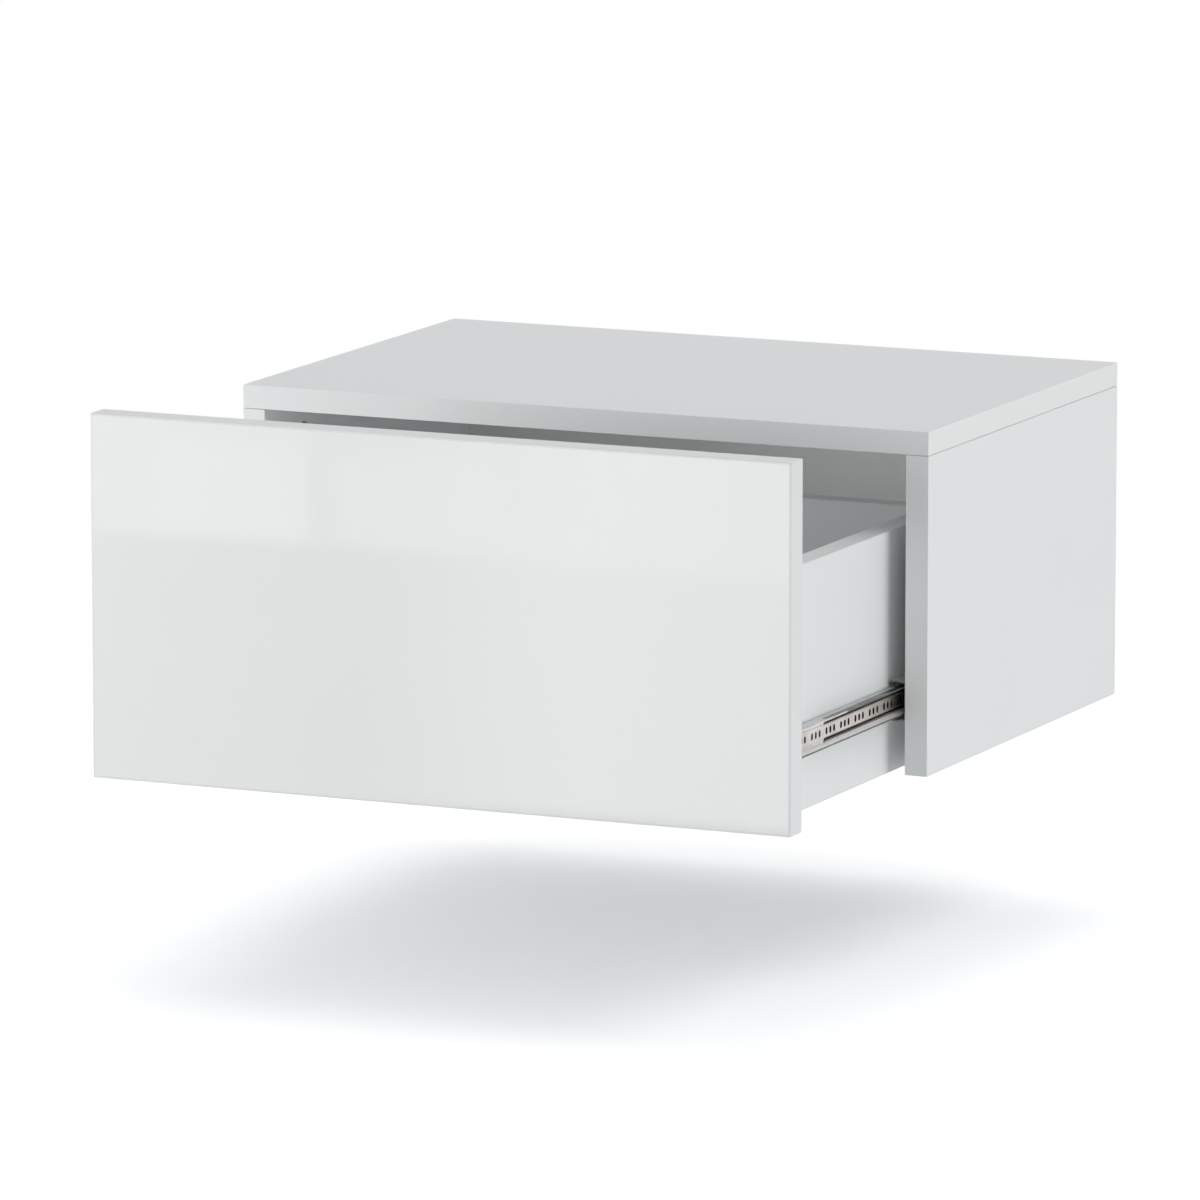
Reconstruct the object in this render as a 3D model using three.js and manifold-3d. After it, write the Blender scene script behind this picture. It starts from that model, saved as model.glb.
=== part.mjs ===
// A wall-hung nightstand with one drawer, modelled in millimetres with +Z up.
// The origin lies on the wall, in the middle of the hanging rail's rear face.
// The front looks towards -Y, and the drawer stands open on its ball runners.

import * as THREE from 'three';
import { mergeVertices } from 'three/addons/utils/BufferGeometryUtils.js';
import Module from 'manifold-3d';

const wasm = await Module();
wasm.setup();

// Cabinet
const cabinetWidth = 500;
const cabinetDepth = 335;
const cabinetHeight = 230;
const boardThickness = 16;
const hangingRailHeight = 50;
const hangingRailThickness = 16;

// Thin fibreboard panels and the grooves that hold them
const panelThickness = 3;
const panelGrooveDepth = 6.5;
const backPanelInset = 5;
const drawerBottomInset = 10;

// Drawer
const frontThickness = 19;
const frontRise = 13;
const openDistance = 208;
const drawerBoardThickness = 16;
const drawerHeight = 162;
const drawerLength = 326;
const runnerGap = 13;

// Clearances
const seat = 0.25;
const fit = 0.25;
const overrun = 1;

// Ball runner
const runnerHeight = 49;
const runnerLength = 300;
const runnerSetback = 2;
const cabinetRailHeight = 27;
const cabinetRailDepth = 12.25;
const cabinetRailSheet = 1;
const drawerRailHeight = 17.5;
const drawerRailDepth = 11;
const drawerRailSheet = 1.2;
const raceWidth = 3.5;
const raceDepth = 0.3;
const raceDistance = 6;

// Perforated strip pressed into the drawer rail
const stripHeight = 9.4;
const stripStand = 6.5;
const stripSheet = 1;
const stripLength = 262;
const stripHeadLength = 86;
const slotHeight = 4.8;
const slotWidth = 3.2;
const slotSpacing = 6.25;
const slotGroupPitch = 24;
const firstSlotGroup = 24.5;
const accessHoleRadius = 4.25;

// Ball cage
const cageLength = 72;
const cageSheet = 0.5;
const cageLegSheet = 0.85;
const ballRadius = 2;
const ballPitch = 11;
const stopSheet = 1;
const stopReach = 2.4;

// Cam fastener: a bolt in one board and a lock in the other
const camRadius = 7.25;
const camLength = 12.25;
const camSetback = 24;
const camSlotRadius = 3.5;
const camCrossLength = 8;
const camCrossWidth = 1.5;
const camCrossDepth = 2;
const boltThreadRadius = 2.5;
const boltThreadLength = 10.5;
const boltShankRadius = 2.75;
const boltNeckRadius = 1.8;
const boltHeadRadius = 2.9;
const boltHeadLength = 4;
const boltNeckLength = 3;

// Countersunk screws
const runnerScrew = { headRadius: 3.5, headLength: 1.9, shankRadius: 1.7, length: 12 };
const hangerScrew = { headRadius: 3.3, headLength: 1.8, shankRadius: 1.6, length: 13 };
const drawerBackScrew = { headRadius: 5, headLength: 3.2, shankRadius: 3, length: 48 };
const screwTipLength = 2.5;
const screwTipRadius = 0.5;

// Keyhole hanger plate
const hangerFromEnd = 83.75;
const hangerWidth = 62;
const hangerHeight = 26;
const hangerSheet = 2;
const hangerCornerRadius = 3;
const keyholeEntryRadius = 5.5;
const keyholeSlotWidth = 5.5;
const keyholeDrop = 5;
const keyholeRise = 7;
const hangerScrewSpread = 24;
const pocketWidth = 26;
const pocketHeight = 22;
const pocketDepth = 9;

// Bumper
const bumperRadius = 4;
const bumperThickness = 1.75;
const bumperLowerHeight = 22;
const bumperUpperHeight = 200;

// Places of the fasteners
const topCamFromFront = 60;
const topCamFromRear = 62;
const frontCamLow = 28;
const frontCamHigh = 128;
const backScrewLow = 34;
const backScrewHigh = 128;
const runnerScrewFront = 10;
const runnerScrewRear = 282;

// How round the turned parts are
const roundSides = 8;
const camSides = 12;
const slotArcSides = 2;
const keyholeArcSides = 6;
const ballSides = 6;
const ballRings = 4;

// Places worked out from the sizes above
const halfWidth = cabinetWidth / 2;
const sideInner = halfWidth - boardThickness;
const sideMiddle = halfWidth - boardThickness / 2;
const topUnderside = cabinetHeight - boardThickness;
const sideTop = topUnderside - seat;
const railTop = topUnderside - seat;
const railBottom = railTop - hangingRailHeight;
const railMiddle = (railTop + railBottom) / 2;
const railHalfLength = sideInner - seat;
const hangerOffset = railHalfLength - hangerFromEnd;
const originHeight = railMiddle;
const grooveWidth = panelThickness + 2 * fit;
const backGrooveRear = -backPanelInset;
const backGrooveFront = backGrooveRear - grooveWidth;
const frontRear = -cabinetDepth - openDistance;
const drawerOuter = sideInner - runnerGap;
const drawerInner = drawerOuter - drawerBoardThickness;
const drawerSideMiddle = drawerOuter - drawerBoardThickness / 2;
const drawerSideFront = frontRear + seat;
const drawerRear = frontRear + drawerLength;
const drawerBackFront = drawerRear - drawerBoardThickness;
const drawerBackMiddle = drawerRear - drawerBoardThickness / 2;
const bottomGrooveTop = drawerBottomInset + grooveWidth;
const cabinetRailFront = -cabinetDepth + runnerSetback;
const cabinetRailRear = cabinetRailFront + runnerLength;
const drawerRailFront = frontRear + runnerSetback;
const drawerRailRear = drawerRailFront + runnerLength;
const cageMiddle = (cabinetRailFront + drawerRailRear) / 2;
const cabinetRaceHeight = cabinetRailHeight / 2 - cabinetRailSheet;
const drawerRaceHeight = drawerRailHeight / 2;
const ballHeight = (cabinetRaceHeight + drawerRaceHeight) / 2;
const raceX = drawerOuter + raceDistance;
const camBoreRadius = camRadius + fit;
const camBoreDepth = camLength + 2 * seat;
const topCamHeight = sideTop - camSetback;
const topCamPlaces = [-cabinetDepth + topCamFromFront, -topCamFromRear];

// Each finish gives a fresh material, so every piece has its own
const finishes = {
  melamine: { color: 0xe4e6e8, roughness: 0.45, metalness: 0 },
  gloss: { color: 0xf0f2f1, roughness: 0.06, metalness: 0 },
  fibreboard: { color: 0xd9dad9, roughness: 0.6, metalness: 0 },
  zinc: { color: 0xcfc8c5, roughness: 0.35, metalness: 0.9 },
  cast: { color: 0xa9abae, roughness: 0.4, metalness: 0.9 },
  steel: { color: 0xb9bcc0, roughness: 0.3, metalness: 0.95 },
  rubber: { color: 0xe6e6e2, roughness: 0.5, metalness: 0 },
};

const nightstand = new THREE.Group();
nightstand.position.set(0, 0, -originHeight);

function addPiece(name, finish, geometry, place = new THREE.Matrix4()) {
  const piece = new THREE.Mesh(geometry, new THREE.MeshStandardMaterial(finishes[finish]));
  piece.name = name;
  place.decompose(piece.position, piece.quaternion, piece.scale);
  nightstand.add(piece);
}

// A closed mesh with shared vertices, as the joining and cutting need it
function welded(geometry) {
  const bare = geometry.clone();
  bare.deleteAttribute('normal');
  bare.deleteAttribute('uv');
  return mergeVertices(bare);
}

function toSolid(geometry) {
  const shell = welded(geometry);
  return new wasm.Manifold(new wasm.Mesh({
    numProp: 3,
    vertProperties: new Float32Array(shell.attributes.position.array),
    triVerts: new Uint32Array(shell.index.array),
  }));
}

function toGeometry(solid) {
  const mesh = solid.getMesh();
  const geometry = new THREE.BufferGeometry();
  geometry.setAttribute('position', new THREE.BufferAttribute(new Float32Array(mesh.vertProperties), 3));
  geometry.setIndex(new THREE.BufferAttribute(new Uint32Array(mesh.triVerts), 1));
  return geometry;
}

function cut(geometry, tools) {
  const left = tools.reduce((solid, tool) => solid.subtract(toSolid(tool)), toSolid(geometry));
  return toGeometry(left);
}

function join(geometry, others) {
  const whole = others.reduce((solid, other) => solid.add(toSolid(other)), toSolid(geometry));
  return toGeometry(whole);
}

// Turns a mesh's faces round where they point inwards
function outward(geometry) {
  const shell = welded(geometry);
  const { position } = shell.attributes;
  const corners = [new THREE.Vector3(), new THREE.Vector3(), new THREE.Vector3()];
  let volume = 0;
  for (let i = 0; i < shell.index.count; i += 3) {
    corners.forEach((corner, k) => corner.fromBufferAttribute(position, shell.index.getX(i + k)));
    volume += corners[0].dot(corners[1].clone().cross(corners[2]));
  }
  return volume < 0 ? flipped(shell) : shell;
}

function flipped(shell) {
  const turned = shell.clone();
  for (let i = 0; i < turned.index.count; i += 3) {
    const first = turned.index.getX(i);
    turned.index.setX(i, turned.index.getX(i + 1));
    turned.index.setX(i + 1, first);
  }
  return turned;
}

// A board or bar between two opposite corners
function block(x0, x1, y0, y1, z0, z1) {
  const box = new THREE.BoxGeometry(Math.abs(x1 - x0), Math.abs(y1 - y0), Math.abs(z1 - z0));
  return welded(box).translate((x0 + x1) / 2, (y0 + y1) / 2, (z0 + z1) / 2);
}

// The same for the left and right: x values are distances out from the middle
function sideBlock(side, x0, x1, y0, y1, z0, z1) {
  return block(side * x0, side * x1, y0, y1, z0, z1);
}

function rodX(radius, x0, x1, y, z, sides = roundSides) {
  const rod = new THREE.CylinderGeometry(radius, radius, Math.abs(x1 - x0), sides);
  return welded(rod).rotateZ(Math.PI / 2).translate((x0 + x1) / 2, y, z);
}

function rodY(radius, y0, y1, x, z, sides = roundSides) {
  const rod = new THREE.CylinderGeometry(radius, radius, Math.abs(y1 - y0), sides);
  return welded(rod).translate(x, (y0 + y1) / 2, z);
}

function rodZ(radius, z0, z1, x, y, sides = roundSides) {
  const rod = new THREE.CylinderGeometry(radius, radius, Math.abs(z1 - z0), sides);
  return welded(rod).rotateX(Math.PI / 2).translate(x, y, (z0 + z1) / 2);
}

// A turned piece round +Z, from radius and height pairs that start and end on the axis
function turned(outline, sides = roundSides) {
  const points = outline.map(([radius, height]) => new THREE.Vector2(radius, height));
  return outward(new THREE.LatheGeometry(points, sides).rotateX(Math.PI / 2));
}

// Puts a piece drawn round +Z at a point, with its +Z along one way and its +Y along another
function placed(point, up, towards) {
  const along = new THREE.Vector3(...up);
  const ahead = new THREE.Vector3(...towards);
  const across = ahead.clone().cross(along);
  return new THREE.Matrix4().makeBasis(across, ahead, along).setPosition(...point);
}

// Cam bolt: thread above the joint face at z = 0, head below it in the lock
const camBoltShape = turned([
  [0, boltThreadLength],
  [boltThreadRadius, boltThreadLength],
  [boltThreadRadius, seat],
  [boltShankRadius, 0],
  [boltShankRadius, boltHeadLength / 2 + boltNeckLength - camSetback],
  [boltNeckRadius, boltHeadLength / 2 + boltNeckLength - camSetback],
  [boltNeckRadius, boltHeadLength / 2 - camSetback],
  [boltHeadRadius, boltHeadLength / 2 - camSetback],
  [boltHeadRadius, -camSetback],
  [0, -boltHeadLength / 2 - camSetback],
]);

// Cam lock: its slotted face at z = 0, its round body below, the bolt coming in along +Y
function camLockShape(bolt) {
  const body = turned([[0, 0], [camRadius, 0], [camRadius, -camLength], [0, -camLength]], camSides);
  const half = camCrossLength / 2;
  const narrow = camCrossWidth / 2;
  return cut(body, [
    rodY(camSlotRadius, -camSlotRadius, camRadius + overrun, 0, -bolt),
    block(-half, half, -narrow, narrow, -camCrossDepth, overrun),
    block(-narrow, narrow, -half, half, -camCrossDepth, overrun),
  ]);
}

// Countersunk screw: its flat head at z = 0, its tip below
function screwShape(screw) {
  return turned([
    [0, 0],
    [screw.headRadius, 0],
    [screw.shankRadius, -screw.headLength],
    [screw.shankRadius, screwTipLength - screw.length],
    [screwTipRadius, -screw.length],
    [0, -screw.length],
  ]);
}

// The hole for a countersunk screw, wider all round by the fit, to cut from a board
function screwHoleShape(screw) {
  return turned([
    [0, overrun],
    [screw.headRadius + fit, overrun],
    [screw.headRadius + fit, 0],
    [screw.shankRadius + fit, -screw.headLength],
    [screw.shankRadius + fit, -screw.length - fit],
    [0, -screw.length - fit],
  ]);
}

function screwHole(screw, point, up, towards) {
  return screwHoleShape(screw).applyMatrix4(placed(point, up, towards));
}

// The hole for a cam bolt's thread, going up into a board from its lower face
function boltHoleUp(x, y, face) {
  return rodZ(boltThreadRadius + fit, face - overrun, face + boltThreadLength + fit, x, y);
}

const sides = [['left', -1], ['right', 1]];
const up = [0, 0, 1];
const back = [0, 1, 0];
const forward = [0, -1, 0];
const outwards = (side) => [side, 0, 0];
const inwards = (side) => [-side, 0, 0];

// Top panel
function buildTopPanel() {
  const holes = sides.flatMap(([, side]) =>
    topCamPlaces.map((y) => boltHoleUp(side * sideMiddle, y, topUnderside)));
  const board = block(-halfWidth, halfWidth, -cabinetDepth, 0, topUnderside, cabinetHeight);
  addPiece('top_panel', 'melamine', cut(board, holes));
}

// Side panels, with the bores for the fasteners and the back panel's groove
function buildSidePanel(word, side) {
  const board = sideBlock(side, sideInner, halfWidth, -cabinetDepth, 0, 0, sideTop);
  const insideStart = side * (sideInner - overrun);
  const cuts = topCamPlaces.flatMap((y) => [
    rodX(camBoreRadius, insideStart, side * (sideInner + camBoreDepth), y, topCamHeight, camSides),
    rodZ(boltShankRadius + fit, topCamHeight, sideTop + overrun, side * sideMiddle, y),
  ]);
  cuts.push(sideBlock(side, sideInner - overrun, sideInner + panelGrooveDepth,
    backGrooveFront, backGrooveRear, -overrun, railBottom + panelGrooveDepth));
  cuts.push(rodX(boltThreadRadius + fit, insideStart, side * (sideInner + boltThreadLength + fit),
    -hangingRailThickness / 2, railMiddle));
  runnerScrewPlaces(cabinetRailFront).forEach((y) => {
    cuts.push(screwHole(runnerScrew, [side * (sideInner - cabinetRailSheet), y, runnerHeight],
      inwards(side), up));
  });
  addPiece(`side_panel_${word}`, 'melamine', cut(board, cuts));
}

function runnerScrewPlaces(front) {
  return [front + runnerScrewFront, front + runnerScrewRear];
}

// Back panel in the grooves of the sides and of the hanging rail
function buildBackPanel() {
  const half = sideInner + panelGrooveDepth - fit;
  const rear = backGrooveRear - fit;
  addPiece('back_panel', 'fibreboard',
    block(-half, half, rear - panelThickness, rear, 0, railBottom + panelGrooveDepth - fit));
}

// Hanging rail, with pockets for the hangers and bores for its cam fasteners
function buildHangingRail() {
  const board = block(-railHalfLength, railHalfLength, -hangingRailThickness, 0, railBottom, railTop);
  const middleY = -hangingRailThickness / 2;
  const cuts = [block(-railHalfLength - overrun, railHalfLength + overrun,
    backGrooveFront, backGrooveRear, railBottom - overrun, railBottom + panelGrooveDepth)];
  for (const [, side] of sides) {
    const x = side * hangerOffset;
    const halfPlate = hangerWidth / 2 + fit;
    const halfHigh = hangerHeight / 2 + fit;
    const lockX = side * (railHalfLength - camSetback);
    cuts.push(block(x - halfPlate, x + halfPlate, -hangerSheet - seat, overrun,
      railMiddle - halfHigh, railMiddle + halfHigh));
    cuts.push(block(x - pocketWidth / 2, x + pocketWidth / 2, -pocketDepth, overrun,
      railMiddle - pocketHeight / 2, railMiddle + pocketHeight / 2));
    cuts.push(rodY(camBoreRadius, -camBoreDepth, overrun, lockX, railMiddle, camSides));
    cuts.push(rodX(boltShankRadius + fit, lockX, side * (railHalfLength + overrun), middleY, railMiddle));
    for (const spread of [-hangerScrewSpread, hangerScrewSpread]) {
      cuts.push(screwHole(hangerScrew, [x + spread, 0, railMiddle], back, up));
    }
  }
  addPiece('hanging_rail', 'melamine', cut(board, cuts));
}

// Keyhole hanger: a flat plate with a round entry that narrows to a slot above it
function buildHanger(word, side) {
  const halfWide = hangerWidth / 2;
  const halfHigh = hangerHeight / 2;
  const r = hangerCornerRadius;
  const outline = new THREE.Shape();
  outline.absarc(halfWide - r, halfHigh - r, r, 0, Math.PI / 2);
  outline.absarc(r - halfWide, halfHigh - r, r, Math.PI / 2, Math.PI);
  outline.absarc(r - halfWide, r - halfHigh, r, Math.PI, 1.5 * Math.PI);
  outline.absarc(halfWide - r, r - halfHigh, r, 1.5 * Math.PI, 2 * Math.PI);
  const keyhole = new THREE.Path();
  const slotHalf = keyholeSlotWidth / 2;
  const meet = Math.acos(slotHalf / keyholeEntryRadius);
  keyhole.absarc(0, -keyholeDrop, keyholeEntryRadius, Math.PI - meet, 2 * Math.PI + meet);
  keyhole.absarc(0, keyholeRise, slotHalf, 0, Math.PI);
  outline.holes.push(keyhole);
  const plate = new THREE.ExtrudeGeometry(outline, {
    depth: hangerSheet, bevelEnabled: false, curveSegments: keyholeArcSides,
  });
  const standing = outward(plate).rotateX(Math.PI / 2);
  const screwCuts = [-hangerScrewSpread, hangerScrewSpread].map((spread) =>
    screwHole(hangerScrew, [spread, 0, 0], back, up));
  addPiece(`keyhole_hanger_${word}`, 'zinc', cut(standing, screwCuts),
    new THREE.Matrix4().makeTranslation(side * hangerOffset, 0, railMiddle));
  [-hangerScrewSpread, hangerScrewSpread].forEach((spread, k) => {
    addPiece(`hanger_screw_${word}_${['a', 'b'][k]}`, 'steel', screwShape(hangerScrew),
      placed([side * hangerOffset + spread, -seat, railMiddle], back, up));
  });
}

// Cam fasteners that pull the top onto the sides
function buildTopFasteners(word, side) {
  topCamPlaces.forEach((y, k) => {
    const end = ['front', 'rear'][k];
    addPiece(`top_cam_bolt_${word}_${end}`, 'steel', camBoltShape,
      placed([side * sideMiddle, y, topUnderside], up, back));
    addPiece(`top_cam_lock_${word}_${end}`, 'cast', camLockShape(boardThickness / 2 - seat),
      placed([side * (sideInner + seat), y, topCamHeight + seat], inwards(side), up));
  });
}

// Cam fasteners that hold the hanging rail between the sides
function buildRailFasteners(word, side) {
  addPiece(`rail_cam_bolt_${word}`, 'steel', camBoltShape,
    placed([side * sideInner, -hangingRailThickness / 2, railMiddle], outwards(side), up));
  addPiece(`rail_cam_lock_${word}`, 'cast', camLockShape(hangingRailThickness / 2 - seat),
    placed([side * (railHalfLength - camSetback + seat), -seat, railMiddle], back, outwards(side)));
}

// A rail outline as a shape: web against the board, flanges standing away from it
function railOutline(height, depth, sheet) {
  const half = height / 2;
  const outline = new THREE.Shape();
  outline.moveTo(0, -half);
  outline.lineTo(depth, -half);
  outline.lineTo(depth, sheet - half);
  outline.lineTo(sheet, sheet - half);
  outline.lineTo(sheet, half - sheet);
  outline.lineTo(depth, half - sheet);
  outline.lineTo(depth, half);
  outline.lineTo(0, half);
  outline.closePath();
  return outline;
}

// The outline carried along Y, with its web at x and its flanges towards the given way
function railBody(outline, x, way, front, length) {
  const body = outward(new THREE.ExtrudeGeometry(outline, { depth: length, bevelEnabled: false }));
  body.rotateX(Math.PI / 2).translate(0, front + length, 0);
  const turnedRound = way < 0 ? flipped(body.scale(-1, 1, 1)) : body;
  return turnedRound.translate(x, 0, runnerHeight);
}

// Cabinet rail: a wide channel on the side panel, with ball races and a stop at its mouth
function buildCabinetRail(word, side) {
  const web = side * sideInner;
  const channel = railBody(railOutline(cabinetRailHeight, cabinetRailDepth, cabinetRailSheet),
    web, -side, cabinetRailFront, runnerLength);
  const races = [-1, 1].map((way) => sideBlock(side, raceX - raceWidth / 2, raceX + raceWidth / 2,
    cabinetRailFront - overrun, cabinetRailRear + overrun,
    runnerHeight + way * (cabinetRaceHeight - raceDepth),
    runnerHeight + way * (cabinetRaceHeight + raceDepth)));
  const stops = [-1, 1].map((way) => sideBlock(side, raceX - stopReach, raceX + stopReach,
    cabinetRailFront, cabinetRailFront + stopSheet,
    runnerHeight + way * (cabinetRaceHeight - stopReach),
    runnerHeight + way * (cabinetRaceHeight + cabinetRailSheet)));
  const holes = runnerScrewPlaces(cabinetRailFront).map((y) =>
    screwHole(runnerScrew, [side * (sideInner - cabinetRailSheet), y, runnerHeight], inwards(side), up));
  addPiece(`cabinet_rail_${word}`, 'zinc', cut(join(cut(channel, races), stops), holes));
  runnerScrewPlaces(cabinetRailFront).forEach((y, k) => {
    addPiece(`cabinet_rail_screw_${word}_${['front', 'rear'][k]}`, 'steel', screwShape(runnerScrew),
      placed([side * (sideInner - cabinetRailSheet + seat), y, runnerHeight], inwards(side), up));
  });
}

// One upright slot with round ends, as a bar to cut from the strip
function slotTool(side, y) {
  const radius = slotWidth / 2;
  const reach = (slotHeight - slotWidth) / 2;
  const outline = new THREE.Shape();
  outline.absarc(0, reach, radius, 0, Math.PI);
  outline.absarc(0, -reach, radius, Math.PI, 2 * Math.PI);
  const depth = stripSheet + 2 * overrun;
  const bar = new THREE.ExtrudeGeometry(outline, { depth, bevelEnabled: false, curveSegments: slotArcSides });
  const start = side * (drawerOuter + stripStand - stripSheet / 2);
  return outward(bar).translate(0, 0, -depth / 2).rotateX(Math.PI / 2).rotateZ(Math.PI / 2)
    .translate(start, y, runnerHeight);
}

// Where the slots lie along the strip, in groups of three
function slotPlaces() {
  const places = [];
  const lastPlace = stripLength - slotSpacing - slotWidth;
  for (let middle = firstSlotGroup; middle <= lastPlace; middle += slotGroupPitch) {
    places.push(middle - slotSpacing, middle, middle + slotSpacing);
  }
  return places.map((place) => drawerRailFront + place);
}

// Drawer rail: a narrow channel on the drawer side with the perforated strip pressed into it
function buildDrawerRail(word, side) {
  const channel = railBody(railOutline(drawerRailHeight, drawerRailDepth, drawerRailSheet),
    side * drawerOuter, side, drawerRailFront, runnerLength);
  const raceStart = drawerRailFront + stripHeadLength;
  const races = [-1, 1].map((way) => sideBlock(side, raceX - raceWidth / 2, raceX + raceWidth / 2,
    raceStart, drawerRailRear + overrun,
    runnerHeight + way * (drawerRaceHeight - raceDepth), runnerHeight + way * (drawerRaceHeight + overrun)));
  const stripFace = drawerOuter + stripStand;
  const stripBack = stripFace - stripSheet;
  const stripEnd = drawerRailFront + stripLength;
  const halfStrip = stripHeight / 2;
  const halfHead = drawerRaceHeight - drawerRailSheet / 2;
  const webMiddle = drawerOuter + drawerRailSheet / 2;
  const strip = [
    sideBlock(side, stripBack, stripFace, drawerRailFront, drawerRailFront + stripHeadLength,
      runnerHeight - halfHead, runnerHeight + halfHead),
    sideBlock(side, stripBack, stripFace, drawerRailFront, stripEnd,
      runnerHeight - halfStrip, runnerHeight + halfStrip),
    sideBlock(side, webMiddle, stripFace, raceStart, stripEnd,
      runnerHeight - halfStrip, runnerHeight - halfStrip + stripSheet),
    sideBlock(side, webMiddle, stripFace, raceStart, stripEnd,
      runnerHeight + halfStrip - stripSheet, runnerHeight + halfStrip),
  ];
  const stops = [-1, 1].map((way) => sideBlock(side, raceX - stopReach, raceX + stopReach,
    drawerRailRear - stopSheet, drawerRailRear,
    runnerHeight + way * (drawerRaceHeight - drawerRailSheet),
    runnerHeight + way * (drawerRaceHeight + stopReach)));
  const holes = runnerScrewPlaces(drawerRailFront).map((y) =>
    screwHole(runnerScrew, [side * (drawerOuter + drawerRailSheet), y, runnerHeight], outwards(side), up));
  const access = rodX(accessHoleRadius, side * (stripBack - overrun), side * (stripFace + overrun),
    drawerRailFront + runnerScrewFront, runnerHeight);
  const slots = slotPlaces().map((y) => slotTool(side, y));
  const whole = join(cut(channel, races), [...strip, ...stops]);
  addPiece(`drawer_rail_${word}`, 'zinc', cut(whole, [...holes, access, ...slots]));
  runnerScrewPlaces(drawerRailFront).forEach((y, k) => {
    addPiece(`drawer_rail_screw_${word}_${['front', 'rear'][k]}`, 'steel', screwShape(runnerScrew),
      placed([side * (drawerOuter + drawerRailSheet - seat), y, runnerHeight], outwards(side), up));
  });
}

// Ball cage: a folded strip round the drawer rail, with its balls in two rows
function buildBallCage(word, side) {
  const webOuter = sideInner - cabinetRailSheet - fit;
  const webInner = webOuter - cageSheet;
  const legHalf = cageLegSheet / 2;
  const front = cageMiddle - cageLength / 2;
  const rear = cageMiddle + cageLength / 2;
  const reach = ballHeight + legHalf;
  const web = sideBlock(side, webInner, webOuter, front, rear, runnerHeight - reach, runnerHeight + reach);
  const legs = [-1, 1].map((way) => sideBlock(side, raceX - ballRadius - overrun, webOuter, front, rear,
    runnerHeight + way * (ballHeight - legHalf), runnerHeight + way * (ballHeight + legHalf)));
  const perRow = Math.floor((cageLength - 2 * ballRadius) / ballPitch);
  const balls = [-1, 1].flatMap((way) => Array.from({ length: perRow }, (_, k) =>
    welded(new THREE.SphereGeometry(ballRadius, ballSides, ballRings)).translate(
      side * raceX,
      cageMiddle + (k - (perRow - 1) / 2) * ballPitch,
      runnerHeight + way * ballHeight)));
  addPiece(`ball_cage_${word}`, 'steel', join(web, [...legs, ...balls]));
}

// Drawer front, with thread holes for its bolts and the groove for the bottom
function buildDrawerFront() {
  const board = block(-halfWidth, halfWidth, frontRear - frontThickness, frontRear,
    0, cabinetHeight + frontRise);
  const grooveHalf = drawerInner + panelGrooveDepth;
  const cuts = [block(-grooveHalf, grooveHalf, frontRear - panelGrooveDepth, frontRear + overrun,
    drawerBottomInset, bottomGrooveTop)];
  for (const [, side] of sides) {
    for (const z of [frontCamLow, frontCamHigh]) {
      cuts.push(rodY(boltThreadRadius + fit, frontRear - boltThreadLength - fit, frontRear + overrun,
        side * drawerSideMiddle, z));
    }
  }
  addPiece('drawer_front', 'gloss', cut(board, cuts));
}

// Drawer sides
function buildDrawerSide(word, side) {
  const board = sideBlock(side, drawerInner, drawerOuter, drawerSideFront, drawerRear, 0, drawerHeight);
  const lockY = drawerSideFront + camSetback;
  const cuts = [sideBlock(side, drawerInner - overrun, drawerInner + panelGrooveDepth,
    drawerSideFront - overrun, drawerRear + overrun, drawerBottomInset, bottomGrooveTop)];
  for (const z of [frontCamLow, frontCamHigh]) {
    cuts.push(rodX(camBoreRadius, side * (drawerInner - overrun), side * (drawerInner + camBoreDepth),
      lockY, z, camSides));
    cuts.push(rodY(boltShankRadius + fit, drawerSideFront - overrun, lockY, side * drawerSideMiddle, z));
  }
  runnerScrewPlaces(drawerRailFront).forEach((y) => {
    cuts.push(screwHole(runnerScrew, [side * (drawerOuter + drawerRailSheet), y, runnerHeight],
      outwards(side), up));
  });
  for (const z of [backScrewLow, backScrewHigh]) {
    cuts.push(screwHole(drawerBackScrew, [side * drawerOuter, drawerBackMiddle, z], outwards(side), up));
  }
  addPiece(`drawer_side_${word}`, 'melamine', cut(board, cuts));
}

// Cam fasteners that hold the front on the drawer sides
function buildFrontFasteners(word, side) {
  [['lower', frontCamLow], ['upper', frontCamHigh]].forEach(([level, z]) => {
    addPiece(`front_cam_bolt_${word}_${level}`, 'steel', camBoltShape,
      placed([side * drawerSideMiddle, frontRear, z], forward, up));
    addPiece(`front_cam_lock_${word}_${level}`, 'cast', camLockShape(drawerBoardThickness / 2 - seat),
      placed([side * (drawerInner + seat), drawerSideFront + camSetback - seat, z], inwards(side), forward));
  });
}

// Drawer back between the sides, and the long screws that hold it
function buildDrawerBack() {
  const half = drawerInner - seat;
  const board = block(-half, half, drawerBackFront, drawerRear, 0, drawerHeight);
  const cuts = [block(-half - overrun, half + overrun, drawerBackFront - overrun,
    drawerBackFront + panelGrooveDepth, drawerBottomInset, bottomGrooveTop)];
  for (const [word, side] of sides) {
    [['lower', backScrewLow], ['upper', backScrewHigh]].forEach(([level, z]) => {
      cuts.push(screwHole(drawerBackScrew, [side * drawerOuter, drawerBackMiddle, z], outwards(side), up));
      addPiece(`drawer_back_screw_${word}_${level}`, 'steel', screwShape(drawerBackScrew),
        placed([side * (drawerOuter - seat), drawerBackMiddle, z], outwards(side), up));
    });
  }
  addPiece('drawer_back', 'melamine', cut(board, cuts));
}

// Drawer bottom, held in the grooves of all four drawer boards
function buildDrawerBottom() {
  const half = drawerInner + panelGrooveDepth - fit;
  addPiece('drawer_bottom', 'fibreboard', block(-half, half,
    frontRear - panelGrooveDepth + fit, drawerBackFront + panelGrooveDepth - fit,
    drawerBottomInset + fit, bottomGrooveTop - fit));
}

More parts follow.
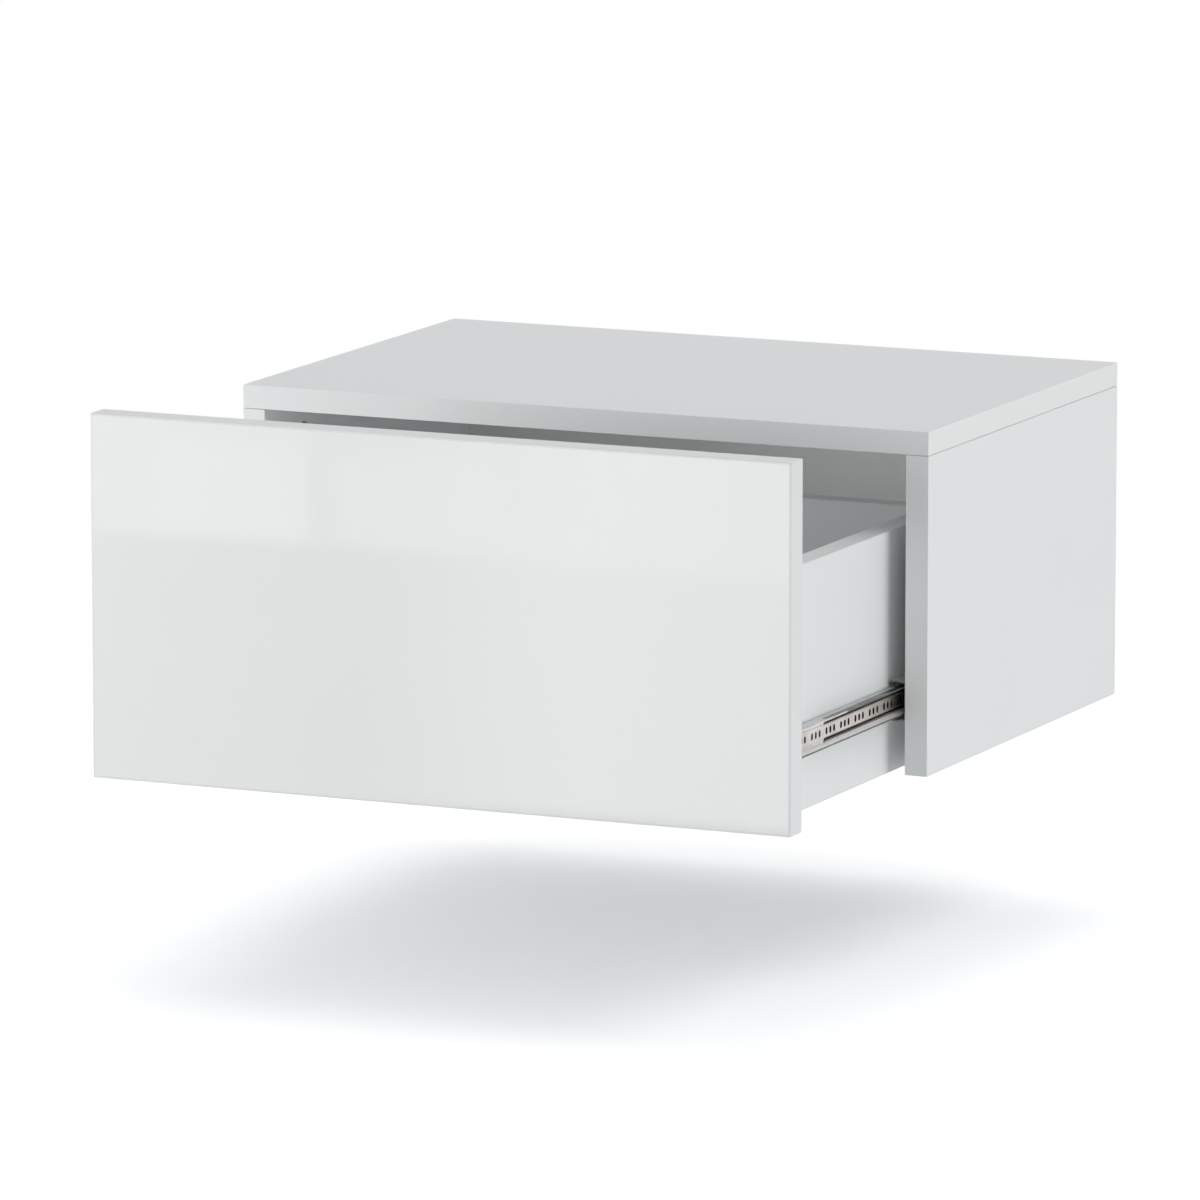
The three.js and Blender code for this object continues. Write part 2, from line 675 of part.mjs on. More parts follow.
// Soft bumpers on the front's rear face, which meet the side panels' front edges
function buildBumpers(word, side) {
  [['lower', bumperLowerHeight], ['upper', bumperUpperHeight]].forEach(([level, z]) => {
    const start = frontRear + seat;
    addPiece(`bumper_${word}_${level}`, 'rubber',
      rodY(bumperRadius, start, start + bumperThickness - seat, side * sideMiddle, z));
  });
}

buildTopPanel();
buildBackPanel();
buildHangingRail();
buildDrawerFront();
buildDrawerBack();
buildDrawerBottom();
for (const [word, side] of sides) {
  buildSidePanel(word, side);
  buildHanger(word, side);
  buildTopFasteners(word, side);
  buildRailFasteners(word, side);
  buildCabinetRail(word, side);
  buildBallCage(word, side);
  buildDrawerSide(word, side);
  buildDrawerRail(word, side);
  buildFrontFasteners(word, side);
  buildBumpers(word, side);
}

export default nightstand;
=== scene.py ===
import math

import bmesh
import bpy
import numpy as np
from mathutils import Matrix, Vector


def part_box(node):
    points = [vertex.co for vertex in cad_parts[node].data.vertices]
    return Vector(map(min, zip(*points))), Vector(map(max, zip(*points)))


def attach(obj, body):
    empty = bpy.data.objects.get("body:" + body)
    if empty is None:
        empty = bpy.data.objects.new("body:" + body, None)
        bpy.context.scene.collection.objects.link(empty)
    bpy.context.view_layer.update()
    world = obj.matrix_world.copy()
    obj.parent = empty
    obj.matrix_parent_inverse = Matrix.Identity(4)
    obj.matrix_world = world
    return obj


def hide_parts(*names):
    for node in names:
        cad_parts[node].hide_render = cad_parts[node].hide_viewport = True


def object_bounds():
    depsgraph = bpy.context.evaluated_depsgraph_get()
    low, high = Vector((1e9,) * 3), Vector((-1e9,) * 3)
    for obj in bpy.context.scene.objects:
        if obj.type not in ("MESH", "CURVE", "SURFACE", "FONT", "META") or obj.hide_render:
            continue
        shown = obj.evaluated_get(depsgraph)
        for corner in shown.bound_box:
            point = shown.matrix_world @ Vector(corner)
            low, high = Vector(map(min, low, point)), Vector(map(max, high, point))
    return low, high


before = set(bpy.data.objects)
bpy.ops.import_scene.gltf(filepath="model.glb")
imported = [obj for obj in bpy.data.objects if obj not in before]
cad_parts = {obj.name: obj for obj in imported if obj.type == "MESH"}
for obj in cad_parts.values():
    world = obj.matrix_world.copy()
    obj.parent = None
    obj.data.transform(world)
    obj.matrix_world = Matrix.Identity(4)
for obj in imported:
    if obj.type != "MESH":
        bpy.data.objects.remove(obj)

# A wall-hung nightstand with one drawer, dressed round its CAD frame.
# Lengths are in metres, and MM turns millimetres into metres.
MM = 0.001
SIDES = (("left", -1), ("right", 1))
ENDS = ("front", "rear")
LEVELS = ("lower", "upper")
X, Y, Z = np.eye(3)
cad_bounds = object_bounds()

# Camera: a long lens, a little above the object and to its right
CAMERA_YAW = math.radians(24.3286)
CAMERA_PITCH = math.radians(9.8623)
CAMERA_ACROSS = 12.574 * MM
CAMERA_BACK = 7265.18 * MM
CAMERA_UP = 99.045 * MM
FOCAL_SHARE = 10879.17 / 1200
SENSOR = 36.0

# Boards
FIT = 0.25 * MM
OVERRUN = 1.0 * MM
EDGE_RADIUS = 0.35 * MM
FRONT_EDGE_RADIUS = 0.9 * MM
PANEL_EDGE_RADIUS = 0.2 * MM
EDGING = 0.8 * MM
FRONT_EDGING = 1.3 * MM
GLUE_LINE = 0.12 * MM
POCKET = np.array([26.0, 9.0, 22.0]) * MM
SIDE_GROOVE_RUN = 30.0 * MM
BACK_GROOVE_RUN = 10.0 * MM
CREASE = math.radians(35)

# Both rails. A channel is its depth, half height, sheet and bend.
INNER_CHANNEL = np.array([11.0, 8.75, 1.2, 1.9]) * MM
OUTER_CHANNEL = np.array([12.25, 13.5, 1.0, 1.8]) * MM
RACE_AT = 5.8 * MM
RACE_REACH = 2.1 * MM
STOP_SHEET = 1.0 * MM
STOP_REACH = 2.4 * MM
STOP_INSET = 0.05 * MM
RUNNER_SCREWS_AT = np.array([10.0, 282.0]) * MM

# Drawer rail and its perforated strip
RACE_DEPTH = 0.6 * MM
LIP_RISE = 0.8 * MM
LIP_FROM = 7.9 * MM
HEAD_LENGTH = 86.0 * MM
STRIP_LENGTH = 262.0 * MM
STRIP_STAND = 6.5 * MM
STRIP_SHEET = 1.0 * MM
STRIP_HALF = 4.7 * MM
STRIP_BEND = 1.2 * MM
BAND_SLOPE = np.array([0.2, 0.6]) * MM
HEAD_HALF = 7.9 * MM
HEAD_SHEET = 1.8 * MM
HEAD_STEP = 0.4 * MM
HOLE_DEPTH = 0.9 * MM
SLOT_HEIGHT = 4.8 * MM
SLOT_WIDTH = 3.2 * MM
SLOT_SPACING = 6.25 * MM
SLOT_GROUP_PITCH = 24.0 * MM
FIRST_SLOT_GROUP = 24.5 * MM
ACCESS_HOLE_RADIUS = 4.25 * MM
ACCESS_HOLE_FROM = 4.0 * MM
# Painted shade: the race band between these two reaches, and past the next length the whole flange
RACE_SHADE_FROM, RACE_SHADE_TO = 4.0 * MM, 10.2 * MM
LIP_SHADE_FROM = 140.0 * MM

# Cabinet rail
OUTER_RACE_DEPTH = 0.4 * MM
OUTER_LIP = 0.7 * MM
OUTER_LIP_RUN = 2.4 * MM
STAMPED_HOLES_AT = np.arange(46.0, 277.0, 32.0) * MM
STAMPED_HOLE_RADIUS = 2.3 * MM

# Ball cage
CAGE_SHEET = 0.5 * MM
CAGE_BEND = 1.2 * MM
CAGE_LAP = 1.0 * MM
BALL_RADIUS = 2.0 * MM
BALL_PITCH = 11.0 * MM
BALL_PLAY = 0.15 * MM

# Fasteners: head radius, head length, shank radius, length, thread pitch
RUNNER_SCREW = np.array([3.5, 1.9, 1.7, 12.0, 1.2]) * MM
HANGER_SCREW = np.array([3.3, 1.8, 1.6, 13.0, 1.2]) * MM
BACK_SCREW = np.array([5.0, 3.2, 3.0, 48.0, 2.6]) * MM
CAM_RADIUS = 7.25 * MM
CAM_LENGTH = 12.25 * MM
CAM_CHAMFER = 0.4 * MM
CAM_MOUTH = 3.4 * MM
CAM_BOLT_BELOW = 1.3 * MM
CAM_RECESS = np.array([4.0, 2.0]) * MM
BOLT_THREAD = 10.5 * MM

# Keyhole hanger
HANGER_CORNER = 3.0 * MM
HANGER_SOFT = 0.3 * MM
KEYHOLE_ENTRY = 5.5 * MM
KEYHOLE_SLOT_HALF = 2.75 * MM
KEYHOLE_DROP = 5.0 * MM
KEYHOLE_RISE = 7.0 * MM
KEYHOLE_CUT = 3.0 * MM

# Room
FLOOR_DROP = 139.0 * MM
FLOOR_SIZE = 30.0
FLOOR_GLOW = 0.05
FLOOR_GAIN = (1.67, 1.67, 1.68, 1.0)
FADE_FROM, FADE_TO = 0.9, 1.5
AMBIENT = 0.45
CARD_AHEAD = -1.2
CARD_FOOT, CARD_HEAD = -0.32, 0.06


def corners_of(node_name):
    """Lowest and highest corner of a CAD node, as arrays."""
    low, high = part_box(node_name)
    return np.array(low), np.array(high)


def added(name, data):
    """A new object in the scene."""
    made = bpy.data.objects.new(name, data)
    bpy.context.scene.collection.objects.link(made)
    return made


def make_camera():
    """The camera stands back from the foot of the cabinet's front, along its own line of sight."""
    right = np.array([math.cos(CAMERA_YAW), math.sin(CAMERA_YAW), 0.0])
    ahead = np.array([-math.sin(CAMERA_YAW), math.cos(CAMERA_YAW), 0.0])
    look = ahead * math.cos(CAMERA_PITCH) - Z * math.sin(CAMERA_PITCH)
    top = Z * math.cos(CAMERA_PITCH) + ahead * math.sin(CAMERA_PITCH)
    foot = corners_of("side_panel_left")[0] * (Y + Z)
    place = foot + right * CAMERA_ACROSS - look * CAMERA_BACK + top * CAMERA_UP
    data = bpy.data.cameras.new("camera")
    data.sensor_width = SENSOR
    data.lens = FOCAL_SHARE * SENSOR
    camera = added("camera", data)
    turn = Matrix(np.stack([right, top, -look], 1).tolist()).to_4x4()
    camera.matrix_world = Matrix.Translation(place.tolist()) @ turn
    bpy.context.scene.camera = camera


# Colours and nodes

def linear(code):
    """An sRGB hex colour as linear light, with its alpha."""
    share = np.array([int(code[i:i + 2], 16) for i in (1, 3, 5)]) / 255
    light = np.where(share <= 0.04045, share / 12.92, ((share + 0.055) / 1.055) ** 2.4)
    return (*light.tolist(), 1.0)


def node(tree, kind, sockets=(), output=0, **settings):
    """Adds a node with its settings and gives the output asked for. A socket takes the output that
    feeds it, a hex colour or a plain value."""
    made = tree.nodes.new(kind)
    for key, value in settings.items():
        setattr(made, key, value)
    for key, value in dict(sockets).items():
        if isinstance(value, bpy.types.NodeSocket):
            tree.links.new(value, made.inputs[key])
        else:
            made.inputs[key].default_value = linear(value) if isinstance(value, str) else value
    return made.outputs[output] if made.outputs else made


def blank(name):
    """A new material, its empty node tree and the object's own coordinates."""
    material = bpy.data.materials.new(name)
    material.use_nodes = True
    tree = material.node_tree
    tree.nodes.clear()
    return material, tree, node(tree, "ShaderNodeTexCoord", output="Object")


def coated(material, tint, pale, deep, roughness, relief, sockets):
    """Ends a material with one Principled shader. The tint is a pattern that mixes two colours, the
    roughness a number, or a pattern and the two numbers it runs between, and the relief a pattern,
    a strength and a height in millimetres."""
    tree = material.node_tree
    sockets["Base Color"] = node(tree, "ShaderNodeMix", {0: tint, 6: pale, 7: deep}, 2, data_type="RGBA")
    if isinstance(roughness, tuple):
        roughness = node(tree, "ShaderNodeMapRange", zip(("Value", "To Min", "To Max"), roughness))
    sockets["Roughness"] = roughness
    if relief:
        pattern, strength, height = relief
        sockets["Normal"] = node(tree, "ShaderNodeBump", {"Height": pattern, "Strength": strength,
                                                          "Distance": height * MM})
    node(tree, "ShaderNodeOutputMaterial", {"Surface": node(tree, "ShaderNodeBsdfPrincipled", sockets)})
    return material


def mottled(name, size, detail, pale, deep, roughness, relief, sockets):
    """A finish from one noise pattern, of a size in millimetres. It mixes two colours, and where
    they are given, it runs between two roughnesses and gives relief a strength and a height."""
    material, tree, place = blank(name)
    spots = node(tree, "ShaderNodeTexNoise", {"Vector": place, "Scale": 1 / (size * MM), "Detail": detail})
    if isinstance(roughness, tuple):
        roughness = (spots, *roughness)
    return coated(material, spots, pale, deep, roughness, relief and (spots, *relief), sockets)


def melamine_foil(name, pale, deep):
    """Melamine foil, hot-pressed on chipboard: an even satin white.
    The press plate leaves a pearl grain that softens the sheen. The real grain is about 0.3 mm,
    drawn at 1.2 mm so that it shows at all."""
    material, tree, place = blank(name)
    grain = node(tree, "ShaderNodeTexNoise", {"Vector": place, "Scale": 1 / (1.2 * MM), "Detail": 2.0})
    cloud = node(tree, "ShaderNodeTexNoise", {"Vector": place, "Scale": 1 / (120 * MM), "Detail": 1.0})
    return coated(material, cloud, pale, deep, (grain, 0.42, 0.54), (grain, 0.25, 0.02), {"IOR": 1.5})


def plastic_edging(name, pale, deep, low, high, along):
    """ABS edging, extruded, glued on and buffed: the same white as the board, a touch smoother.
    The trimming cutter leaves faint marks across the band, 3 mm apart on a real one and drawn
    2 pi times wider, because finer ones don't show."""
    material, tree, place = blank(name)
    marks = node(tree, "ShaderNodeTexWave", {
        "Vector": place, "Scale": 1 / (20 * 3 * MM), "Distortion": 1.5, "Detail": 1.0, "Detail Scale": 2.0},
        "Fac", bands_direction=along)
    grain = node(tree, "ShaderNodeTexNoise", {"Vector": place, "Scale": 1 / (2.5 * MM), "Detail": 2.0})
    return coated(material, grain, pale, deep, (grain, low, high), (marks, 0.04, 0.01), {"IOR": 1.52})


def gloss_acrylic():
    """High-gloss acrylic foil on board, polished: it mirrors soft lights at a low strength.
    The board below lets the gloss swim a little, in waves of about 9 mm."""
    material, tree, place = blank("high_gloss_acrylic")
    waves = node(tree, "ShaderNodeTexNoise", {"Vector": place, "Scale": 1 / (9 * MM), "Detail": 1.0})
    cloud = node(tree, "ShaderNodeTexNoise", {"Vector": place, "Scale": 1 / (160 * MM), "Detail": 1.0})
    return coated(material, cloud, "#f2f4f2", "#f0f2f0", (waves, 0.03, 0.06), (waves, 0.1, 0.02),
                  {"IOR": 1.5})


def chipboard_core():
    """Chipboard, pressed from wood chips and milled: a rough tan core of flakes 2 to 4 mm long,
    seen only in bores, grooves and pockets."""
    material, tree, place = blank("chipboard_core_milled")
    flakes = node(tree, "ShaderNodeTexVoronoi", {"Vector": place, "Scale": 1 / (3 * MM)}).node.outputs
    fibres = node(tree, "ShaderNodeTexNoise", {"Vector": place, "Scale": 1 / (0.8 * MM), "Detail": 4.0})
    flake = node(tree, "ShaderNodeMix", {0: flakes["Color"], 6: "#c3a479", 7: "#9a7a52"}, 2, data_type="RGBA")
    return coated(material, fibres, flake, "#b08f64", 0.85, (flakes["Distance"], 0.5, 0.2), {"IOR": 1.45})


def raw_hardboard():
    """Hardboard's rear face, raw: brown fibres, printed by the press screen every 1.5 mm."""
    material, tree, place = blank("hardboard_screen_back")
    fibres = node(tree, "ShaderNodeTexNoise", {"Vector": place, "Scale": 1 / (2.2 * MM), "Detail": 5.0})
    cloud = node(tree, "ShaderNodeTexNoise", {"Vector": place, "Scale": 1 / (45 * MM), "Detail": 3.0})
    screen = node(tree, "ShaderNodeTexVoronoi", {"Vector": place, "Scale": 1 / (1.5 * MM),
                                                 "Randomness": 0.0}, "Distance")
    brown = node(tree, "ShaderNodeMix", {0: fibres, 6: "#b8966e", 7: "#98764f"}, 2, data_type="RGBA")
    return coated(material, cloud, brown, "#a5825a", 0.8, (screen, 0.5, 0.15), {"IOR": 1.45})


def formed_steel(name, pale, deep, low, high, streak=(1.0, 0.05, 1.0)):
    """Steel, cold-formed and most of it plated: a soft shine, from one roughness to another.
    Rolling or drawing leaves streaks, drawn 0.8 mm wide so that they show."""
    material, tree, place = blank(name)
    stretch = node(tree, "ShaderNodeMapping", {"Vector": place, "Scale": streak})
    lines = node(tree, "ShaderNodeTexNoise", {"Vector": stretch, "Scale": 1 / (0.8 * MM), "Detail": 3.0})
    patches = node(tree, "ShaderNodeTexNoise", {"Vector": place, "Scale": 1 / (14 * MM), "Detail": 2.0})
    both = node(tree, "ShaderNodeMath", {0: lines, 1: patches}, operation="MULTIPLY")
    spread = node(tree, "ShaderNodeMapRange", {"Value": both, "From Min": 0.1, "From Max": 0.4})
    return coated(material, spread, pale, deep, (spread, low, high), (lines, 0.1, 0.01), {"Metallic": 1.0})


# Shapes: points, faces and the material number of each face

def quads(rings, corners):
    """Four-sided faces between neighbouring rings of points, numbered ring by ring."""
    ring, corner = np.meshgrid(np.arange(rings - 1), np.arange(corners), indexing="ij")
    following = (corner + 1) % corners
    here, above = ring * corners, (ring + 1) * corners
    return np.stack([here + corner, here + following, above + following, above + corner], -1).reshape(-1, 4)


def lofted(rings, paint=None):
    """A closed solid through a stack of rings, an array of (ring, corner, xyz).
    Quads join each ring to the next, and one flat face closes each end."""
    count, corners = rings.shape[:2]
    first = list(range(corners))[::-1]
    last = list(range((count - 1) * corners, count * corners))
    faces = quads(count, corners).tolist() + [first, last]
    return rings.reshape(-1, 3), faces, np.zeros(len(faces), int) if paint is None else paint


def turned(outline, sides=48):
    """A solid of revolution: point (k, a) is radius k times (cos a, sin a), at height k."""
    radius, height = np.array(outline, float).T
    angle = np.arange(sides) * 2 * math.pi / sides
    circle = np.stack([np.cos(angle), np.sin(angle), np.zeros(sides)], -1)
    return lofted(radius[:, None, None] * circle + height[:, None, None] * Z)


def carried(outline, stations, out, up, start, paint=None):
    """An outline of (out, up) pairs carried along Y: point (k, j) is the start, plus outline j's
    out and up ways, plus station k. The outline may change from station to station."""
    outline = np.broadcast_to(outline, (len(stations), *np.shape(outline)[-2:]))
    along = np.asarray(stations, float)[:, None, None] * Y
    return lofted(start + outline[..., :1] * out + outline[..., 1:] * up + along, paint)


def placed(shape, origin, along, ahead):
    """The shape with its +Z turned to along and its +Y to ahead, moved to the origin given."""
    points, faces, paint = shape
    basis = np.stack([np.cross(ahead, along), ahead, along])
    return points @ basis + origin, faces, paint


def block(low, high):
    """A bar between two opposite corners."""
    x, y, z = np.stack([low, high], 1)
    ring = np.array([[x[0], y[0]], [x[1], y[0]], [x[1], y[1]], [x[0], y[1]]])
    rings = np.stack([np.column_stack([ring, np.full(4, height)]) for height in z])
    return lofted(rings)


def rod(radius, start, end, sides=48):
    """A round bar between two points."""
    start, end = np.array(start, float), np.array(end, float)
    length = np.linalg.norm(end - start)
    along = (end - start) / length
    ahead = np.cross(along, np.roll(np.abs(np.round(along)), 1))
    return placed(turned([(radius, 0), (radius, length)], sides), start, along, ahead)


def together(shapes):
    """Several shapes as one."""
    points, faces, paints = zip(*shapes)
    starts = np.cumsum([0] + [len(some) for some in points]).tolist()
    joined = [[corner + start for corner in face] for start, some in zip(starts, faces) for face in some]
    return np.concatenate(points), joined, np.concatenate(paints)


def rounded_board(low, high, radius, thin, bands=(), steps=3):
    """A board with rounded edges. Its thin way stands up. A point is a corner of the box, drawn in
    by the radius, plus the radius times a direction on a ball, with latitude by ring and longitude
    by corner. The bands are rings drawn further in on both faces: edging, then glue line.
    Materials are 0 on the low face, 1 on the high face, 2 on the edging and 3 on the glue line."""
    middle, half = (low + high) / 2, (high - low) / 2
    order = [(thin + 1) % 3, (thin + 2) % 3, thin]
    width, depth, rise = half[order]
    turn = np.linspace(0, math.pi / 2, steps + 1)
    latitude = np.concatenate([turn - math.pi / 2, turn])
    inward = np.array(bands, float)
    flat = np.zeros(len(bands))
    inset = np.concatenate([inward[::-1], np.full(len(latitude), radius), inward])
    reach = np.concatenate([flat, radius * np.cos(latitude), flat])
    level = np.repeat([-1, 1], steps + 1) * (rise - radius) + radius * np.sin(latitude)
    height = np.concatenate([flat - rise, level, flat + rise])
    longitude = np.concatenate([turn + quarter * math.pi / 2 for quarter in range(4)])
    across = np.repeat([1, -1, -1, 1], steps + 1)
    deep = np.repeat([1, 1, -1, -1], steps + 1)
    local = np.stack([
        across * (width - inset[:, None]) + reach[:, None] * np.cos(longitude),
        deep * (depth - inset[:, None]) + reach[:, None] * np.sin(longitude),
        np.broadcast_to(height[:, None], (len(height), len(longitude))),
    ], -1)
    rings = np.empty_like(local)
    rings[..., order] = local
    rows = np.full(len(height) - 1, 2)
    if len(bands):
        rows[0] = rows[-1] = 3
    paint = np.concatenate([np.repeat(rows, len(longitude)), [0, 1]])
    return lofted(rings + middle, paint)


def mesh_of(shape, materials):
    """The shape as a mesh. A material that comes twice in the list gets one slot."""
    points, faces, paint = shape
    mesh = bpy.data.meshes.new("shape")
    mesh.from_pydata(points.tolist(), [], faces)
    single = list(dict.fromkeys(materials))
    slots = np.array([single.index(material) for material in materials], np.int32)
    mesh.polygons.foreach_set("material_index", slots[paint])
    for material in single:
        mesh.materials.append(material)
    return outward(mesh)


def outward(mesh):
    """The mesh with corners that coincide merged, and then its faces turned outwards."""
    work = bmesh.new()
    work.from_mesh(mesh)
    bmesh.ops.remove_doubles(work, verts=work.verts, dist=0.001 * MM)
    bmesh.ops.recalc_face_normals(work, faces=work.faces)
    work.to_mesh(mesh)
    work.free()
    return mesh


def carved(mesh, tools, material, operation="DIFFERENCE", crossing=False):
    """The mesh with the tools' shapes cut away or joined on. Cut faces take the tools' material.
    Crossing says that the tools run through each other."""
    pair = [added("blank", mesh), added("tool", mesh_of(together(tools), [material]))]
    step = pair[0].modifiers.new("step", "BOOLEAN")
    step.operation, step.solver, step.use_self = operation, "EXACT", crossing
    step.object, step.material_mode = pair[1], "TRANSFER"
    bpy.context.view_layer.update()
    graph = bpy.context.evaluated_depsgraph_get()
    made = bpy.data.meshes.new_from_object(pair[0].evaluated_get(graph))
    for thing in pair:
        bpy.data.objects.remove(thing)
    return made


def sided(mesh, side):
    """A copy of a right-hand mesh. For the left it is mirrored, and its faces turned outwards."""
    copy = mesh.copy()
    if side > 0:
        return copy
    copy.transform(Matrix.Diagonal((-1, 1, 1, 1)))
    return outward(copy)


def piece(name, mesh, body, nodes):
    """A finished piece: smooth but for edges sharper than a crease, riding on its body."""
    mesh.name = name
    made = added(name, mesh)
    mesh.polygons.foreach_set("use_smooth", np.ones(len(mesh.polygons), bool))
    mesh.set_sharp_from_angle(angle=CREASE)
    made.modifiers.new("even_shading", "WEIGHTED_NORMAL").keep_sharp = True
    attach(made, body)
    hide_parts(*nodes)


# Holes that the fasteners and panels need in the boards

def lock_bore(node_name, out):
    """The round bore of a cam lock, open to the side that out points to."""
    low, high = corners_of(node_name)
    middle, half = (low + high) / 2, (high - low) / 2
    return rod(CAM_RADIUS + FIT, middle - out * (half + FIT), middle + out * (half + OVERRUN))


def bolt_way(node_name):
    """The round way of a cam bolt, along the longest side of its box."""
    low, high = corners_of(node_name)
    middle, half = (low + high) / 2, (high - low) / 2
    reach = np.eye(3)[np.argmax(half)] * (half + FIT)
    return rod(np.sort(half)[1] + FIT, middle - reach, middle + reach)


def screw_way(screw, node_name, along):
    """The hole of a countersunk screw, wider all round by the fit. Along points out of its head."""
    head, head_length, shank, length, _ = screw
    outline = [(shank + FIT, -length - FIT), (shank + FIT, -head_length), (head + FIT, 0),
               (head + FIT, OVERRUN)]
    return placed(turned(outline, 32), head_place(node_name, along), along, Z if along[2] == 0 else Y)


def head_place(node_name, along):
    """The middle of a fastener's outer end, the side of its box that along points to."""
    low, high = corners_of(node_name)
    return (low + high) / 2 + along * (high - low) / 2


def groove(node_name, low_reach, high_reach):
    """The groove of a panel: its box, wider by the fit, and longer by the reaches given."""
    low, high = corners_of(node_name)
    return block(low - FIT - np.array(low_reach), high + FIT + np.array(high_reach))


# Boards

def build_boards(paints):
    """The cabinet's and the drawer's boards, bored and grooved."""
    plain = [paints["face"], paints["face"], paints["edge_x"], paints["glue"]]
    drawer = [paints["drawer_face"], paints["drawer_face"], paints["edge_y"], paints["glue"]]
    gloss = [paints["gloss"], paints["face"], paints["gloss_edge"], paints["glue"]]
    bands = (EDGING, EDGING + GLUE_LINE)
    front_bands = (FRONT_EDGING, FRONT_EDGING + GLUE_LINE)

    def make(node_name, name, body, thin, materials, tools, radius=EDGE_RADIUS, rings=bands):
        shape = rounded_board(*corners_of(node_name), radius, thin, rings)
        bored = carved(mesh_of(shape, materials), tools, paints["core"], crossing=True)
        piece(name, bored, body, [node_name])

    make("top_panel", "top_board", "cabinet", 2, plain,
         [bolt_way(f"top_cam_bolt_{word}_{end}") for word, _ in SIDES for end in ENDS])

    hanging = [groove("back_panel", (OVERRUN, 0, OVERRUN), (OVERRUN, 0, 0))]
    for word, side in SIDES:
        out = side * X
        hanging += [lock_bore(f"rail_cam_lock_{word}", Y), bolt_way(f"rail_cam_bolt_{word}")]
        hanging += [screw_way(HANGER_SCREW, f"hanger_screw_{word}_{end}", Y) for end in "ab"]
        low, high = corners_of(f"keyhole_hanger_{word}")
        middle = (low + high) / 2
        on_wall, behind = middle * (1 - Y), OVERRUN * Y
        hanging += [block(low - FIT, high + FIT + behind),
                    block(on_wall - POCKET * (0.5, 1, 0.5), on_wall + POCKET * (0.5, 0, 0.5) + behind)]
        cabinet_tools = [groove("back_panel", (0, 0, OVERRUN), (0, 0, 0)), bolt_way(f"rail_cam_bolt_{word}")]
        for end in ENDS:
            cabinet_tools += [lock_bore(f"top_cam_lock_{word}_{end}", -out),
                              bolt_way(f"top_cam_bolt_{word}_{end}"),
                              screw_way(RUNNER_SCREW, f"cabinet_rail_screw_{word}_{end}", -out)]
        make(f"side_panel_{word}", f"side_board_{word}", "cabinet", 0, plain, cabinet_tools)

        side_tools = [groove("drawer_bottom", (0, OVERRUN, 0), (0, SIDE_GROOVE_RUN, 0))]
        for level in LEVELS:
            side_tools += [lock_bore(f"front_cam_lock_{word}_{level}", -out),
                           bolt_way(f"front_cam_bolt_{word}_{level}"),
                           screw_way(BACK_SCREW, f"drawer_back_screw_{word}_{level}", out)]
        side_tools += [screw_way(RUNNER_SCREW, f"drawer_rail_screw_{word}_{end}", out) for end in ENDS]
        make(f"drawer_side_{word}", f"drawer_side_board_{word}", "drawer", 0, drawer,
             side_tools)
    make("hanging_rail", "hanging_board", "cabinet", 1, plain, hanging)

    front_tools = [groove("drawer_bottom", (0, 0, 0), (0, 0, 0))]
    back_tools = [groove("drawer_bottom", (BACK_GROOVE_RUN, 0, 0), (BACK_GROOVE_RUN, 0, 0))]
    for word, side in SIDES:
        for level in LEVELS:
            front_tools.append(bolt_way(f"front_cam_bolt_{word}_{level}"))
            back_tools.append(screw_way(BACK_SCREW, f"drawer_back_screw_{word}_{level}", side * X))
    make("drawer_front", "gloss_front_board", "drawer", 1, gloss, front_tools,
         FRONT_EDGE_RADIUS, front_bands)
    make("drawer_back", "drawer_back_board", "drawer", 1, drawer, back_tools)


def build_thin_panels(paints):
    """The back panel, white inside and raw outside, and the drawer's bottom, lacquered on both faces."""
    raw, white, grey = paints["hardboard_raw"], paints["back_white"], paints["bottom_white"]
    for node_name, name, body, thin, materials in (
            ("back_panel", "back_hardboard", "cabinet", 1, [white, raw, raw]),
            ("drawer_bottom", "bottom_hardboard", "drawer", 2, [grey, grey, raw])):
        shape = rounded_board(*corners_of(node_name), PANEL_EDGE_RADIUS, thin, steps=2)
        piece(name, mesh_of(shape, materials), body, [node_name])


# Ball runners

def arc(middle, radius, start, end, steps=6):
    """Points of an arc round (out, up), from a start to an end angle in degrees."""
    angle = np.radians(np.linspace(start, end, steps + 1))
    return np.array(middle) + radius * np.column_stack([np.cos(angle), np.sin(angle)])


def channel_outline(depth, half, sheet, bend, steps=18):
    """Outline of a channel with round bends and lips: out from the web, up from its middle.
    It runs outside from the lower lip round the web to the upper lip, and back inside."""
    out = np.linspace(depth - sheet / 2, bend, steps)
    upper = np.column_stack([out, np.full(steps, half)])
    within = np.column_stack([out, np.full(steps, half - sheet)])
    mirror = np.array([1, -1])
    return np.concatenate([
        upper * mirror,
        arc((bend, bend - half), bend, 270, 180),
        arc((bend, half - bend), bend, 180, 90),
        upper[::-1],
        arc((depth - sheet / 2, half - sheet / 2), sheet / 2, 80, -80, 4),
        within,
        arc((bend, half - bend), bend - sheet, 90, 180),
        arc((bend, bend - half), bend - sheet, 180, 270),
        within[::-1] * mirror,
        arc((depth - sheet / 2, sheet / 2 - half), sheet / 2, 80, -80, 4),
    ])


def raced(outline, channel, middle, dent, lip_from, lip_rise, share):
    """The outline with a ball race in each flange and its lips turned: the flange moves out by the
    lip's rise times a smooth step to the lip's end, and in by the dent times one minus the squared
    distance from the race's middle over its reach, times a share for each station."""
    depth, half, _, bend = channel
    out, up = outline.T
    hollow = np.clip(1 - ((out - middle) / RACE_REACH) ** 2, 0, None)
    way = np.clip((out - lip_from) / (depth - lip_from), 0, 1)
    lift = lip_rise * way ** 2 * (3 - 2 * way) - dent * hollow * share[:, None]
    on_flange = (out > bend) & (np.abs(up) > half / 2)
    return np.stack([np.broadcast_to(out, lift.shape), up + np.sign(up) * lift * on_flange], -1)


